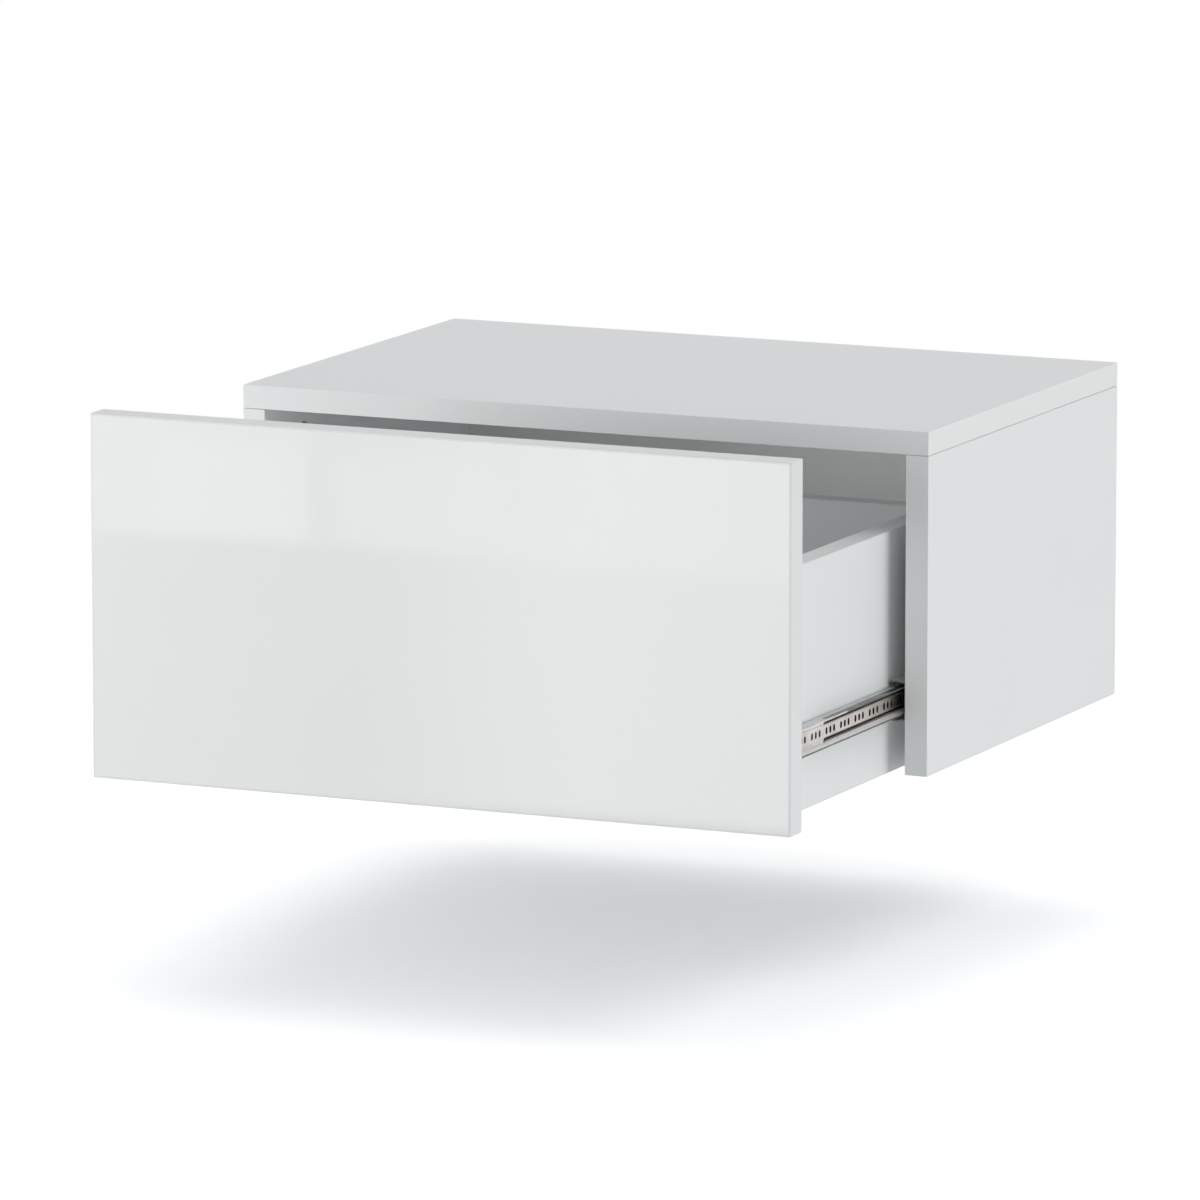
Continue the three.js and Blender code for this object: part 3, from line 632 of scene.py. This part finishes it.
def rail_paint(outline, channel, stations, share):
    """The material number of each face of a carried channel: 2 on its cut ends and its lower lip's
    end, 3 inside the flanges, 4 inside the web, else 0. Where the share is full, the outside of
    the flanges is 1 to the lip, and far along right to its end, which is 2 there on top too.
    The dark 2 on the lips' ends and the 1 are painted shade, and so is 4 on the drawer rail;
    3 is painted light."""
    depth, half, sheet, bend = channel
    out, up = outline.T
    outer = (np.abs(up) > half - 0.01 * MM) & (out > RACE_SHADE_FROM)
    inner = (np.abs(up) < half - 0.99 * sheet) & (out > 0.99 * sheet)
    tip = out > depth - 0.45 * sheet
    every = np.ones(len(stations) - 1, bool)
    full = share[1:] > 0.99
    far = full & (stations[1:] > LIP_SHADE_FROM)
    numbers = np.zeros((len(every), len(out)), int)
    for number, rows, corners in (
            (3, every, inner & (out > 0.99 * bend)), (4, every, inner & (out < 1.01 * bend)),
            (2, every, tip & (up < 0)), (2, far, tip & (up > 0)), (1, full, outer & (out < RACE_SHADE_TO)),
            (1, far, outer)):
        numbers[np.ix_(rows, corners & np.roll(corners, -1))] = number
    return np.concatenate([numbers.ravel(), [2, 2]])


def slot_places():
    """Where the slots lie along the strip, in groups of three."""
    groups = np.arange(FIRST_SLOT_GROUP, STRIP_LENGTH - SLOT_SPACING - SLOT_WIDTH, SLOT_GROUP_PITCH)
    return (groups[:, None] + np.array([-1, 0, 1]) * SLOT_SPACING).ravel()


def slot_bar(floor, top, place):
    """A bar with the outline of an upright slot with round ends, to cut through the strip."""
    radius, straight = SLOT_WIDTH / 2, (SLOT_HEIGHT - SLOT_WIDTH) / 2
    outline = np.concatenate([
        arc((0, straight), radius, 0, 180, 10), arc((0, -straight), radius, 180, 360, 10)])
    rings = np.stack([np.full(len(outline), floor), outline[:, 0], outline[:, 1]], -1)
    return lofted(np.stack([rings, rings + (top - floor) * X]) + place)


def web_holes(start, ways, radius, near, far, sides=32):
    """Rods to cut through a rail's web, from near to far across it, at the ways given along it."""
    return [rod(radius, start + way * Y + near * X, start + way * Y + far * X, sides) for way in ways]


def stops(start, race, near, far, levels):
    """Two bars across a rail's races, above and below its middle, from near to far along the rail
    and between two levels."""
    return [block(start + (race - STOP_REACH, near, foot), start + (race + STOP_REACH, far, head))
            for foot, head in (np.sort(way * np.array(levels)) for way in (-1, 1))]


def strip_parts(start, steel, strip):
    """What is pressed into the drawer rail, each part with its metal: the flat head, the band that
    stands up from it, and the strip behind, folded back to the web with round bends. Small steps
    keep the faces of parts that are joined out of one plane."""
    top = STRIP_STAND
    low_side, back = top - HEAD_STEP, top - HEAD_SHEET
    step_from, step_to = STRIP_HALF + BAND_SLOPE
    head = np.array([(back, -HEAD_HALF), (low_side, -HEAD_HALF), (low_side, HEAD_HALF), (back, HEAD_HALF)])
    sunk = (back + low_side) / 2
    raised = np.array([(sunk, -step_to), (low_side, -step_to), (top, -step_from), (top, step_from),
                       (low_side, step_to), (sunk, step_to)])
    inner = STRIP_BEND - STRIP_SHEET
    root = INNER_CHANNEL[2] / 2
    bend_out = top - 0.02 * MM - STRIP_BEND
    bend_up = STRIP_HALF - STRIP_BEND
    leg = STRIP_HALF - STRIP_SHEET
    folded = np.concatenate([
        [(root, -STRIP_HALF)], arc((bend_out, -bend_up), STRIP_BEND, -90, 0),
        arc((bend_out, bend_up), STRIP_BEND, 0, 90), [(root, STRIP_HALF), (root, leg)],
        arc((bend_out, bend_up), inner, 90, 0, 3), arc((bend_out, -bend_up), inner, 0, -90, 3),
        [(root, -leg)]])
    return [(carried(outline, ends, X, Z, start), metal) for outline, ends, metal in (
        (head, [0.3 * MM, HEAD_LENGTH], steel),
        (raised, [0.4 * MM, HEAD_LENGTH - 0.1 * MM], strip),
        (folded, [HEAD_LENGTH - 0.5 * MM, STRIP_LENGTH], strip))]


def drawer_rail_mesh(steel, race, cut, inside, strip, shade_film):
    """The right drawer rail: a channel whose flanges turn into ball races behind its plain head,
    with a perforated strip pressed into it. The races and lips' ends are painted shade, a dark film
    of painted shade lines the web behind the strip and its through slots, and the flanges' inside
    is painted light."""
    _, half, sheet, _ = INNER_CHANNEL
    low, high = corners_of("drawer_rail_right")
    length = high[1] - low[1]
    start = np.array([low[0], low[1], (low[2] + high[2]) / 2])
    near = np.array([-2.0, -0.4, 0.0, 2.0]) * MM + HEAD_LENGTH
    stations = np.concatenate([[0.0], near, np.linspace(near[-1], length, 9)[1:]])
    share = np.clip((stations - near[1]) / (near[-1] - near[1]), 0, 1)
    outline = channel_outline(*INNER_CHANNEL)
    rings = raced(outline, INNER_CHANNEL, RACE_AT, RACE_DEPTH, LIP_FROM, LIP_RISE, share)
    paint = rail_paint(outline, INNER_CHANNEL, stations, share)
    whole = mesh_of(carried(rings, stations, X, Z, start, paint), [steel, race, cut, inside, shade_film])
    bars = stops(start, RACE_AT, length - STOP_SHEET, length - STOP_INSET,
                 (half - sheet / 2, half + STOP_REACH))
    for part, metal in strip_parts(start, steel, strip) + [(bar, steel) for bar in bars]:
        whole = carved(whole, [part], metal, "UNION")

    places = slot_places()
    blind = places < HEAD_LENGTH - SLOT_WIDTH
    # Painted shade in the slots: dark cut steel on the blind ones' walls, the dark film on the others'
    for chosen, depth, finish in ((blind, HOLE_DEPTH, cut), (~blind, 2 * STRIP_SHEET, shade_film)):
        whole = carved(whole, [slot_bar(STRIP_STAND - depth, STRIP_STAND + OVERRUN, start + place * Y)
                               for place in places[chosen]], finish)
    tools = web_holes(start, RUNNER_SCREWS_AT, RUNNER_SCREW[0] + FIT, -OVERRUN, 2 * sheet)
    tools += web_holes(start, RUNNER_SCREWS_AT[:1], ACCESS_HOLE_RADIUS, ACCESS_HOLE_FROM,
                       STRIP_STAND + OVERRUN, 40)
    return carved(whole, tools, strip)


def cabinet_rail_mesh(steel, cut, inside, shade_film):
    """The right cabinet rail: a wide channel with ball races, in-turned lips, stamped holes and
    stops at its mouth. The stops are a dark film of painted shade, its lower lip's end is dark
    steel as painted shade, and the flanges' inside is painted light."""
    depth, half, sheet, _ = OUTER_CHANNEL
    low, high = corners_of("cabinet_rail_right")
    start = np.array([high[0], low[1], (low[2] + high[2]) / 2])
    race_at = start[0] - corners_of("drawer_rail_right")[0][0] - RACE_AT
    stations = np.linspace(0, high[1] - low[1], 9)
    outline = channel_outline(*OUTER_CHANNEL)
    rings = raced(outline, OUTER_CHANNEL, race_at, -OUTER_RACE_DEPTH, depth - OUTER_LIP_RUN, -OUTER_LIP,
                  np.ones(len(stations)))
    paint = rail_paint(outline, OUTER_CHANNEL, stations, np.zeros(len(stations)))
    whole = mesh_of(carried(rings, stations, -X, Z, start, paint), [steel, steel, cut, inside, steel])
    for bar in stops(start, -race_at, STOP_INSET, STOP_SHEET, (half - sheet / 2, half - sheet - STOP_REACH)):
        whole = carved(whole, [bar], shade_film, "UNION")
    tools = web_holes(start, RUNNER_SCREWS_AT, RUNNER_SCREW[0] + FIT, -2 * sheet, OVERRUN)
    tools += web_holes(start, STAMPED_HOLES_AT, STAMPED_HOLE_RADIUS, -2 * sheet, OVERRUN)
    return carved(whole, tools, steel)


def ball(radius, middle, sides=24, rings=13, pole=0.08):
    """A ball: point (k, a) is the radius times (sin t cos a, sin t sin a, -cos t), t by ring. The
    rings leave a small flat pole at both ends."""
    polar = np.linspace(pole, math.pi - pole, rings)
    points, faces, paint = turned(np.column_stack([radius * np.sin(polar), -radius * np.cos(polar)]), sides)
    return points + middle, faces, paint


def cage_meshes(cage_steel, ball_steel):
    """The right ball cage, a strip folded round the drawer rail with a hole for each ball, and
    its balls in two rows."""
    low, high = corners_of("ball_cage_right")
    middle = (low + high) / 2
    race = corners_of("drawer_rail_right")[0][0] + RACE_AT
    row = (high[2] - low[2]) / 2 - BALL_RADIUS
    depth = high[0] - race + BALL_RADIUS + CAGE_LAP
    outline = channel_outline(depth, row + CAGE_SHEET / 2, CAGE_SHEET, CAGE_BEND, 4)
    start = np.array([high[0], low[1], middle[2]])
    cage = mesh_of(carried(outline, [0, high[1] - low[1]], -X, Z, start), [cage_steel])
    count = int((high[1] - low[1] - 2 * BALL_RADIUS) // BALL_PITCH)
    along = (np.arange(count) - (count - 1) / 2) * BALL_PITCH
    places = [np.array([race, middle[1] + y, middle[2] + way * row]) for way in (-1, 1) for y in along]
    holes = [rod(BALL_RADIUS + BALL_PLAY, place - Z * OVERRUN, place + Z * OVERRUN, 24) for place in places]
    balls = mesh_of(together([ball(BALL_RADIUS, place) for place in places]), [ball_steel])
    return carved(cage, holes, cage_steel), balls


# Fasteners

def cross_recess(reach, depth):
    """A cross to cut from a head: two bars that narrow as they go down."""
    wide, deep = np.array([1.0, 0.16]) * reach, np.array([0.55, 0.12]) * reach
    levels = [(-depth, deep), (OVERRUN, wide * (1 + 0.3 * OVERRUN / depth))]
    sign = np.array([(-1, -1), (1, -1), (1, 1), (-1, 1)])
    return [lofted(np.stack([np.column_stack([sign * size[::way], np.full(4, level)])
                             for level, size in levels])) for way in (1, -1)]


def thread_rings(low, high, core, depth, pitch, sides):
    """Rings of a screw thread from low to high: the radius is the core, plus the depth times a
    ridge that climbs one pitch a turn, fading out over half a pitch at both ends."""
    rows = max(8, int((high - low) / pitch * 7))
    height = np.linspace(low, high, rows)[:, None]
    angle = np.arange(sides)[None] * 2 * math.pi / sides
    phase = (height / pitch - angle / (2 * math.pi)) % 1
    ridge = np.clip(1 - np.abs(phase - 0.5) * 4, 0, 1)
    fade = np.clip(np.minimum(height - low, high - height) / (pitch / 2), 0, 1)
    radius = core + depth * ridge * fade
    return np.stack([radius * np.cos(angle), radius * np.sin(angle), height + 0 * angle], -1)


def plain_rings(outline, sides):
    """Round rings at pairs of radius and height."""
    return turned(outline, sides)[0].reshape(len(outline), sides, 3)


def screw_mesh(screw, steel, sides=24):
    """A countersunk screw, head up: its thread, the cone of its head and its cross recess."""
    head, head_length, shank, length, pitch = screw
    rings = np.concatenate([
        plain_rings([(0.1 * shank, -length), (0.5 * shank, 1.4 * shank - length)], sides),
        thread_rings(1.6 * shank - length, -head_length - 0.5 * MM, 0.74 * shank, 0.26 * shank, pitch, sides),
        plain_rings([(0.8 * shank, -head_length), (head - 0.1 * MM, -0.35 * MM), (head, -0.15 * MM),
                     (head - 0.12 * MM, 0)], sides),
    ])
    return carved(mesh_of(lofted(rings), [steel]), cross_recess(0.55 * head, 0.88 * head_length), steel,
                  crossing=True)


def cam_lock_mesh(metal):
    """A cam lock, face up: a round body with a rim and a cross recess, open on the side of its
    bolt, towards +Y."""
    rim = np.array([(0, -1.4), (0.35, -1.2), (0.35, -0.9), (0, -0.7), (0, -0.15), (0.15, 0), (1.0, 0),
                    (1.2, -0.3)]) * MM
    outline = [(CAM_RADIUS - CAM_CHAMFER, -CAM_LENGTH), (CAM_RADIUS, CAM_CHAMFER - CAM_LENGTH)]
    outline += [(CAM_RADIUS - inset, level) for inset, level in rim]
    bolt = -CAM_LENGTH / 2 - CAM_BOLT_BELOW
    tools = [rod(CAM_MOUTH, (0, -CAM_MOUTH, bolt), (0, CAM_RADIUS + OVERRUN, bolt), 32)]
    return carved(mesh_of(turned(outline), [metal]), tools + cross_recess(*CAM_RECESS), metal, crossing=True)


def cam_bolt_mesh(steel, sides=28):
    """A cam bolt: a round head, a thin neck, a plain shank and a threaded end, which points up
    and ends at zero."""
    plain = np.array([(0.6, -26.0), (2.2, -25.6), (2.9, -24.6), (2.9, -23.4), (2.3, -22.2), (1.8, -21.8),
                      (1.8, -19.2), (2.6, -18.9), (2.75, -18.6), (2.75, -0.3), (2.5, 0.0)]) * MM
    rings = np.concatenate([
        plain_rings(plain, sides),
        thread_rings(0.3 * MM, BOLT_THREAD - 0.8 * MM, 1.75 * MM, 0.75 * MM, 1.5 * MM, sides),
        plain_rings([(1.5 * MM, BOLT_THREAD - 0.3 * MM), (0.8 * MM, BOLT_THREAD)], sides),
    ])
    return mesh_of(lofted(rings - Z * BOLT_THREAD), [steel])


def fasten(node_name, made, mesh, along, ahead, body):
    """A copy of a fastener at its node: its +Z turned to along, its +Y to ahead, and its outer end
    where the node's is. The word on how it is made ends its name."""
    copy = mesh.copy()
    turn = Matrix(np.stack([np.cross(ahead, along), ahead, along], 1).tolist()).to_4x4()
    copy.transform(Matrix.Translation(head_place(node_name, along).tolist()) @ turn)
    piece(f"{node_name}_{made}", copy, body, [node_name])


def hanger_mesh(steel):
    """The right keyhole hanger: a flat sheet with round corners and rounded edges."""
    low, high = corners_of("keyhole_hanger_right")
    middle, half = (low + high) / 2, (high - low) / 2
    rings = []
    for depth, inset in ((-half[1], HANGER_SOFT), (HANGER_SOFT - half[1], 0), (half[1] - HANGER_SOFT, 0),
                         (half[1], HANGER_SOFT)):
        wide, tall = half[0] - HANGER_CORNER, half[2] - HANGER_CORNER
        line = np.concatenate([
            arc((sx * wide, sz * tall), HANGER_CORNER - inset, start, start + 90, 8)
            for sx, sz, start in ((1, 1, 0), (-1, 1, 90), (-1, -1, 180), (1, -1, 270))])
        rings.append(np.column_stack([line[:, 0], np.full(len(line), depth), line[:, 1]]))
    whole = mesh_of(lofted(np.stack(rings) + middle), [steel])
    meet = math.degrees(math.acos(KEYHOLE_SLOT_HALF / KEYHOLE_ENTRY))
    outline = np.concatenate([
        arc((0, -KEYHOLE_DROP), KEYHOLE_ENTRY, 180 - meet, 360 + meet, 40),
        arc((0, KEYHOLE_RISE), KEYHOLE_SLOT_HALF, 0, 180, 20)])
    ring = np.column_stack([outline[:, 0], np.zeros(len(outline)), outline[:, 1]])
    keyhole = lofted(np.stack([ring - Y * KEYHOLE_CUT, ring + Y * KEYHOLE_CUT]) + middle)
    tools = [keyhole] + [screw_way(HANGER_SCREW, f"hanger_screw_right_{end}", Y) for end in "ab"]
    return carved(whole, tools, steel)


def build_bumpers(word, soft):
    """Low domes: the height falls from a small flat crown as a quarter ellipse."""
    for level in LEVELS:
        node_name = f"bumper_{word}_{level}"
        low, high = corners_of(node_name)
        radius, height = (high[0] - low[0]) / 2, high[1] - low[1]
        turn = np.linspace(0, math.pi / 2 - 0.05, 9)
        outline = np.column_stack([radius * np.cos(turn), height * np.sin(turn)])
        shape = placed(turned(outline, 32), (low + high) / 2 - Y * height / 2, Y, Z)
        piece(f"{node_name}_dome", mesh_of(shape, [soft]), "drawer", [node_name])


# Room

def looking(tree):
    """One for rays that look at the surround, from the camera, a gloss or a clear piece."""
    ray = node(tree, "ShaderNodeLightPath").node.outputs
    some = node(tree, "ShaderNodeMath", {0: ray["Is Camera Ray"], 1: ray["Is Glossy Ray"]},
                operation="MAXIMUM")
    return node(tree, "ShaderNodeMath", {0: some, 1: ray["Is Transmission Ray"]}, operation="MAXIMUM")


def sheet(name, corners, material):
    """A flat stage surface through four corners, which is no part of the object."""
    mesh = bpy.data.meshes.new(name)
    mesh.from_pydata(np.array(corners, float).tolist(), [], [(0, 1, 2, 3)])
    mesh.materials.append(material)
    made = added(name, mesh)
    return made


def build_floor():
    """White paint that keeps the shadow. It is shown brighter than it bounces, as a floor with a
    light of its own would be, and further out it turns into the white surround."""
    material, tree, place = blank("studio_floor_paint")
    bounce = node(tree, "ShaderNodeBsdfDiffuse", {"Color": "#e8e9e9"})
    paint = node(tree, "ShaderNodeBsdfDiffuse", {"Color": FLOOR_GAIN})
    glow = node(tree, "ShaderNodeEmission", {"Color": "#fafdff", "Strength": FLOOR_GLOW})
    white = node(tree, "ShaderNodeEmission", {"Color": "#ffffff", "Strength": 1.0})
    lit = node(tree, "ShaderNodeAddShader", {0: paint, 1: glow})
    reach = node(tree, "ShaderNodeVectorMath", {0: place}, "Value", operation="LENGTH")
    fade = node(tree, "ShaderNodeMapRange", {"Value": reach, "From Min": FADE_FROM, "From Max": FADE_TO},
                interpolation_type="SMOOTHSTEP")
    far = node(tree, "ShaderNodeMixShader", {0: fade, 1: lit, 2: white})
    both = node(tree, "ShaderNodeMixShader", {0: looking(tree), 1: bounce, 2: far})
    clear = node(tree, "ShaderNodeBsdfTransparent")
    under = node(tree, "ShaderNodeNewGeometry", output="Backfacing")
    shown = node(tree, "ShaderNodeMixShader", {0: under, 1: both, 2: clear})
    node(tree, "ShaderNodeOutputMaterial", {"Surface": shown})
    level = cad_bounds[0][2] - FLOOR_DROP
    ways = np.array([(-1, -1), (1, -1), (1, 1), (-1, 1)]) * FLOOR_SIZE
    sheet("studio_floor", np.column_stack([ways, np.full(4, level)]), material)


def build_world():
    """A plain ambient light, and white for the rays that look at the surround."""
    world = bpy.data.worlds.new("studio")
    bpy.context.scene.world = world
    world.use_nodes = True
    tree = world.node_tree
    tree.nodes.clear()
    ambient = node(tree, "ShaderNodeBackground", {"Color": "#fafcfe", "Strength": AMBIENT})
    white = node(tree, "ShaderNodeBackground", {"Color": "#ffffff", "Strength": 1.0})
    both = node(tree, "ShaderNodeMixShader", {0: looking(tree), 1: ambient, 2: white})
    node(tree, "ShaderNodeOutputWorld", {"Surface": both})


def add_card(name, left, right, foot, head, strength, fade):
    """A pale card in front of the object that only gloss shows. Its strength rises smoothly over
    the fade from its left edge."""
    material, tree, place = blank(f"{name}_glow")
    across = node(tree, "ShaderNodeSeparateXYZ", {0: place}, "X")
    rise = node(tree, "ShaderNodeMapRange", {"Value": across, "From Min": left, "From Max": left + fade,
                                             "To Max": strength}, interpolation_type="SMOOTHSTEP")
    glow = node(tree, "ShaderNodeEmission", {"Color": "#fbfdfd", "Strength": rise})
    clear = node(tree, "ShaderNodeBsdfTransparent")
    both = node(tree, "ShaderNodeAddShader", {0: glow, 1: clear})
    node(tree, "ShaderNodeOutputMaterial", {"Surface": both})
    card = sheet(name, [(x, CARD_AHEAD, z) for x, z in
                        ((left, foot), (right, foot), (right, head), (left, head))], material)
    card.visible_camera = card.visible_diffuse = card.visible_shadow = card.visible_transmission = False


def add_lamp(name, place, size, power):
    """A soft lamp, of a width and a height, that faces the middle of the object."""
    data = bpy.data.lights.new(name, "AREA")
    data.shape, data.energy = "RECTANGLE", power
    data.size, data.size_y = size
    lamp = added(name, data)
    middle = (cad_bounds[0] + cad_bounds[1]) / 2
    lamp.location = place
    lamp.rotation_euler = (middle - lamp.location).to_track_quat("-Z", "Y").to_euler()
    lamp.visible_glossy = lamp.visible_camera = False


make_camera()
paints = {
    "face": melamine_foil("melamine_foil_pressed", "#f0f2f2", "#edefef"),
    "drawer_face": melamine_foil("melamine_foil_drawer", "#f0f2f2", "#eceeee"),
    "edge_x": plastic_edging("abs_edging_extruded", "#f0f2f1", "#edefee", 0.38, 0.48, "X"),
    "edge_y": plastic_edging("abs_edging_drawer", "#f0f2f1", "#edefee", 0.38, 0.48, "Y"),
    "gloss_edge": plastic_edging("abs_edging_gloss", "#eaeceb", "#e7e9e9", 0.34, 0.42, "X"),
    "gloss": gloss_acrylic(),
    # Hot-melt glue, squeezed out flush: the hairline between a board's face and its edging
    "glue": mottled("hot_melt_glue_joint", 4, 2.0, "#c9cac9", "#dcdddc", 0.6, None, {"IOR": 1.48}),
    "core": chipboard_core(),
    # Hardboard, wet-pressed and lacquered white: matt, with a faint fibre relief
    "back_white": mottled("hardboard_white_lacquer", 1.6, 3.0, "#f6f7f6", "#f0f1f0", 0.6, (0.2, 0.03),
                          {"IOR": 1.48}),
    "bottom_white": mottled("hardboard_drawer_lacquer", 1.6, 3.0, "#dcdddb", "#d4d5d3", 0.6, (0.2, 0.03),
                            {"IOR": 1.48}),
    "hardboard_raw": raw_hardboard(),
}
# Zinc plate dulls on the rolled channels, and inside the flanges it is painted palest, as painted light.
# The races are painted dark as painted shade, and far back the flanges' whole outside too, and are
# smoother where the balls run. Sheared ends are bare, dark and coarse, and the same dark steel is
# painted shade on the lips' ends and in the blind slots. The nickel-plated strip is smoother and
# warmer, and bearing balls are polished.
rail_steel = formed_steel("zinc_plated_rolled_steel", "#dedddd", "#cdcccc", 0.46, 0.6)
painted_light_steel = formed_steel("zinc_plated_painted_light_steel", "#f4f4f4", "#eaeaea", 0.58, 0.7)
race_shade_steel = formed_steel("burnished_race_painted_shade", "#83827f", "#6d6c69", 0.22, 0.34)
cut_and_shade_steel = formed_steel("sheared_steel_and_painted_shade", "#8b8a88", "#757472", 0.45, 0.6, (1.0, 1.0, 0.1))
strip_steel = formed_steel("nickel_plated_pressed_strip", "#d0cac5", "#c1bbb6", 0.28, 0.42)
plate_steel = formed_steel("zinc_plated_stamped_steel", "#cfd1d3", "#b4b7ba", 0.3, 0.45, (0.1, 1.0, 1.0))
fastener_steel = formed_steel("zinc_plated_screw_steel", "#c9cbce", "#a9acb0", 0.25, 0.4, (1.0, 1.0, 1.0))
ball_steel = formed_steel("polished_bearing_steel", "#d2d4d6", "#c3c5c8", 0.08, 0.14, (1.0, 1.0, 1.0))
# Zinc alloy, die-cast and tumbled: dull and slightly pitted
lock_zinc = mottled("zinc_die_cast", 0.9, 4.0, "#b4b6b8", "#96999c", (0.4, 0.58), (0.35, 0.05),
                    {"Metallic": 1.0})
# Painted shade: a dark film with a soft wet shine, behind the strip, in its slots and on the stops
shade_film = mottled("painted_shade_film", 3, 3.0, "#35312d", "#24211e", (0.4, 0.6), (0.3, 0.1),
                 {"IOR": 1.47})
# Polyurethane, cast in drops: clear and soft, with a faint milky haze
bumper_soft = mottled("polyurethane_drop", 1.5, 2.0, "#eceeed", "#dfe2e1", (0.12, 0.22), None,
                      {"IOR": 1.49, "Transmission Weight": 0.55})

build_boards(paints)
build_thin_panels(paints)

runner_screw, hanger_screw, back_screw = (
    screw_mesh(screw, fastener_steel) for screw in (RUNNER_SCREW, HANGER_SCREW, BACK_SCREW))
cam_lock = cam_lock_mesh(lock_zinc)
cam_bolt = cam_bolt_mesh(fastener_steel)
inner_runner = drawer_rail_mesh(rail_steel, race_shade_steel, cut_and_shade_steel, painted_light_steel, strip_steel, shade_film)
outer_runner = cabinet_rail_mesh(rail_steel, cut_and_shade_steel, painted_light_steel, shade_film)
cage_strip, cage_balls = cage_meshes(plate_steel, ball_steel)
hanger_plate = hanger_mesh(plate_steel)
for word, side in SIDES:
    out = side * X
    for name, mesh, body, slot, node_name in (
            ("inner_runner", inner_runner, "drawer", "zinc_rail", "drawer_rail"),
            ("outer_runner", outer_runner, "cabinet", "zinc_rail", "cabinet_rail"),
            ("cage_strip", cage_strip, "ball_cages", "ball_steel", "ball_cage"),
            ("cage_balls", cage_balls, "ball_cages", "ball_steel", "ball_cage"),
            ("hanger_plate", hanger_plate, "cabinet", "hanger_plate", "keyhole_hanger")):
        piece(f"{name}_{word}", sided(mesh, side), body, [f"{node_name}_{word}"])
    for end in ENDS:
        fasten(f"drawer_rail_screw_{word}_{end}", "threaded", runner_screw, out, Z, "drawer")
        fasten(f"cabinet_rail_screw_{word}_{end}", "threaded", runner_screw, -out, Z, "cabinet")
        fasten(f"top_cam_lock_{word}_{end}", "cast", cam_lock, -out, Z, "cabinet")
        fasten(f"top_cam_bolt_{word}_{end}", "turned", cam_bolt, Z, Y, "cabinet")
    fasten(f"rail_cam_lock_{word}", "cast", cam_lock, Y, out, "cabinet")
    fasten(f"rail_cam_bolt_{word}", "turned", cam_bolt, out, Z, "cabinet")
    for end in "ab":
        fasten(f"hanger_screw_{word}_{end}", "threaded", hanger_screw, Y, Z, "cabinet")
    for level in LEVELS:
        fasten(f"front_cam_lock_{word}_{level}", "cast", cam_lock, -out, -Y, "drawer")
        fasten(f"front_cam_bolt_{word}_{level}", "turned", cam_bolt, -Y, Z, "drawer")
        fasten(f"drawer_back_screw_{word}_{level}", "threaded", back_screw, out, Z, "drawer")
    build_bumpers(word, bumper_soft)
build_floor()
build_world()
add_card("upper_card", -0.69, 0.11, -0.143, CARD_HEAD, 1.1, 4 * MM)
add_card("right_card", -0.40, 0.26, CARD_FOOT, CARD_HEAD, 2.0, 0.24)
add_card("small_card_left", -0.529, -0.404, -0.138, -0.072, 1.0, 4 * MM)
add_card("small_card_right", -0.384, -0.254, -0.138, -0.072, 1.0, 4 * MM)
add_lamp("front_lamp", (-2.6, -2.8, 0.17), (1.8, 0.9), 56)
add_lamp("left_lamp", (-3.6, -0.8, -0.15), (1.8, 0.6), 16)
add_lamp("right_lamp", (3.6, -0.5, -0.15), (2.0, 0.6), 38)
add_lamp("top_left_lamp", (-0.5, 0.6, 2.0), (1.6, 1.6), 7)
add_lamp("top_right_lamp", (1.8, -0.2, 2.0), (1.2, 1.2), 8.5)

bpy.context.scene.view_settings.view_transform = "Standard"
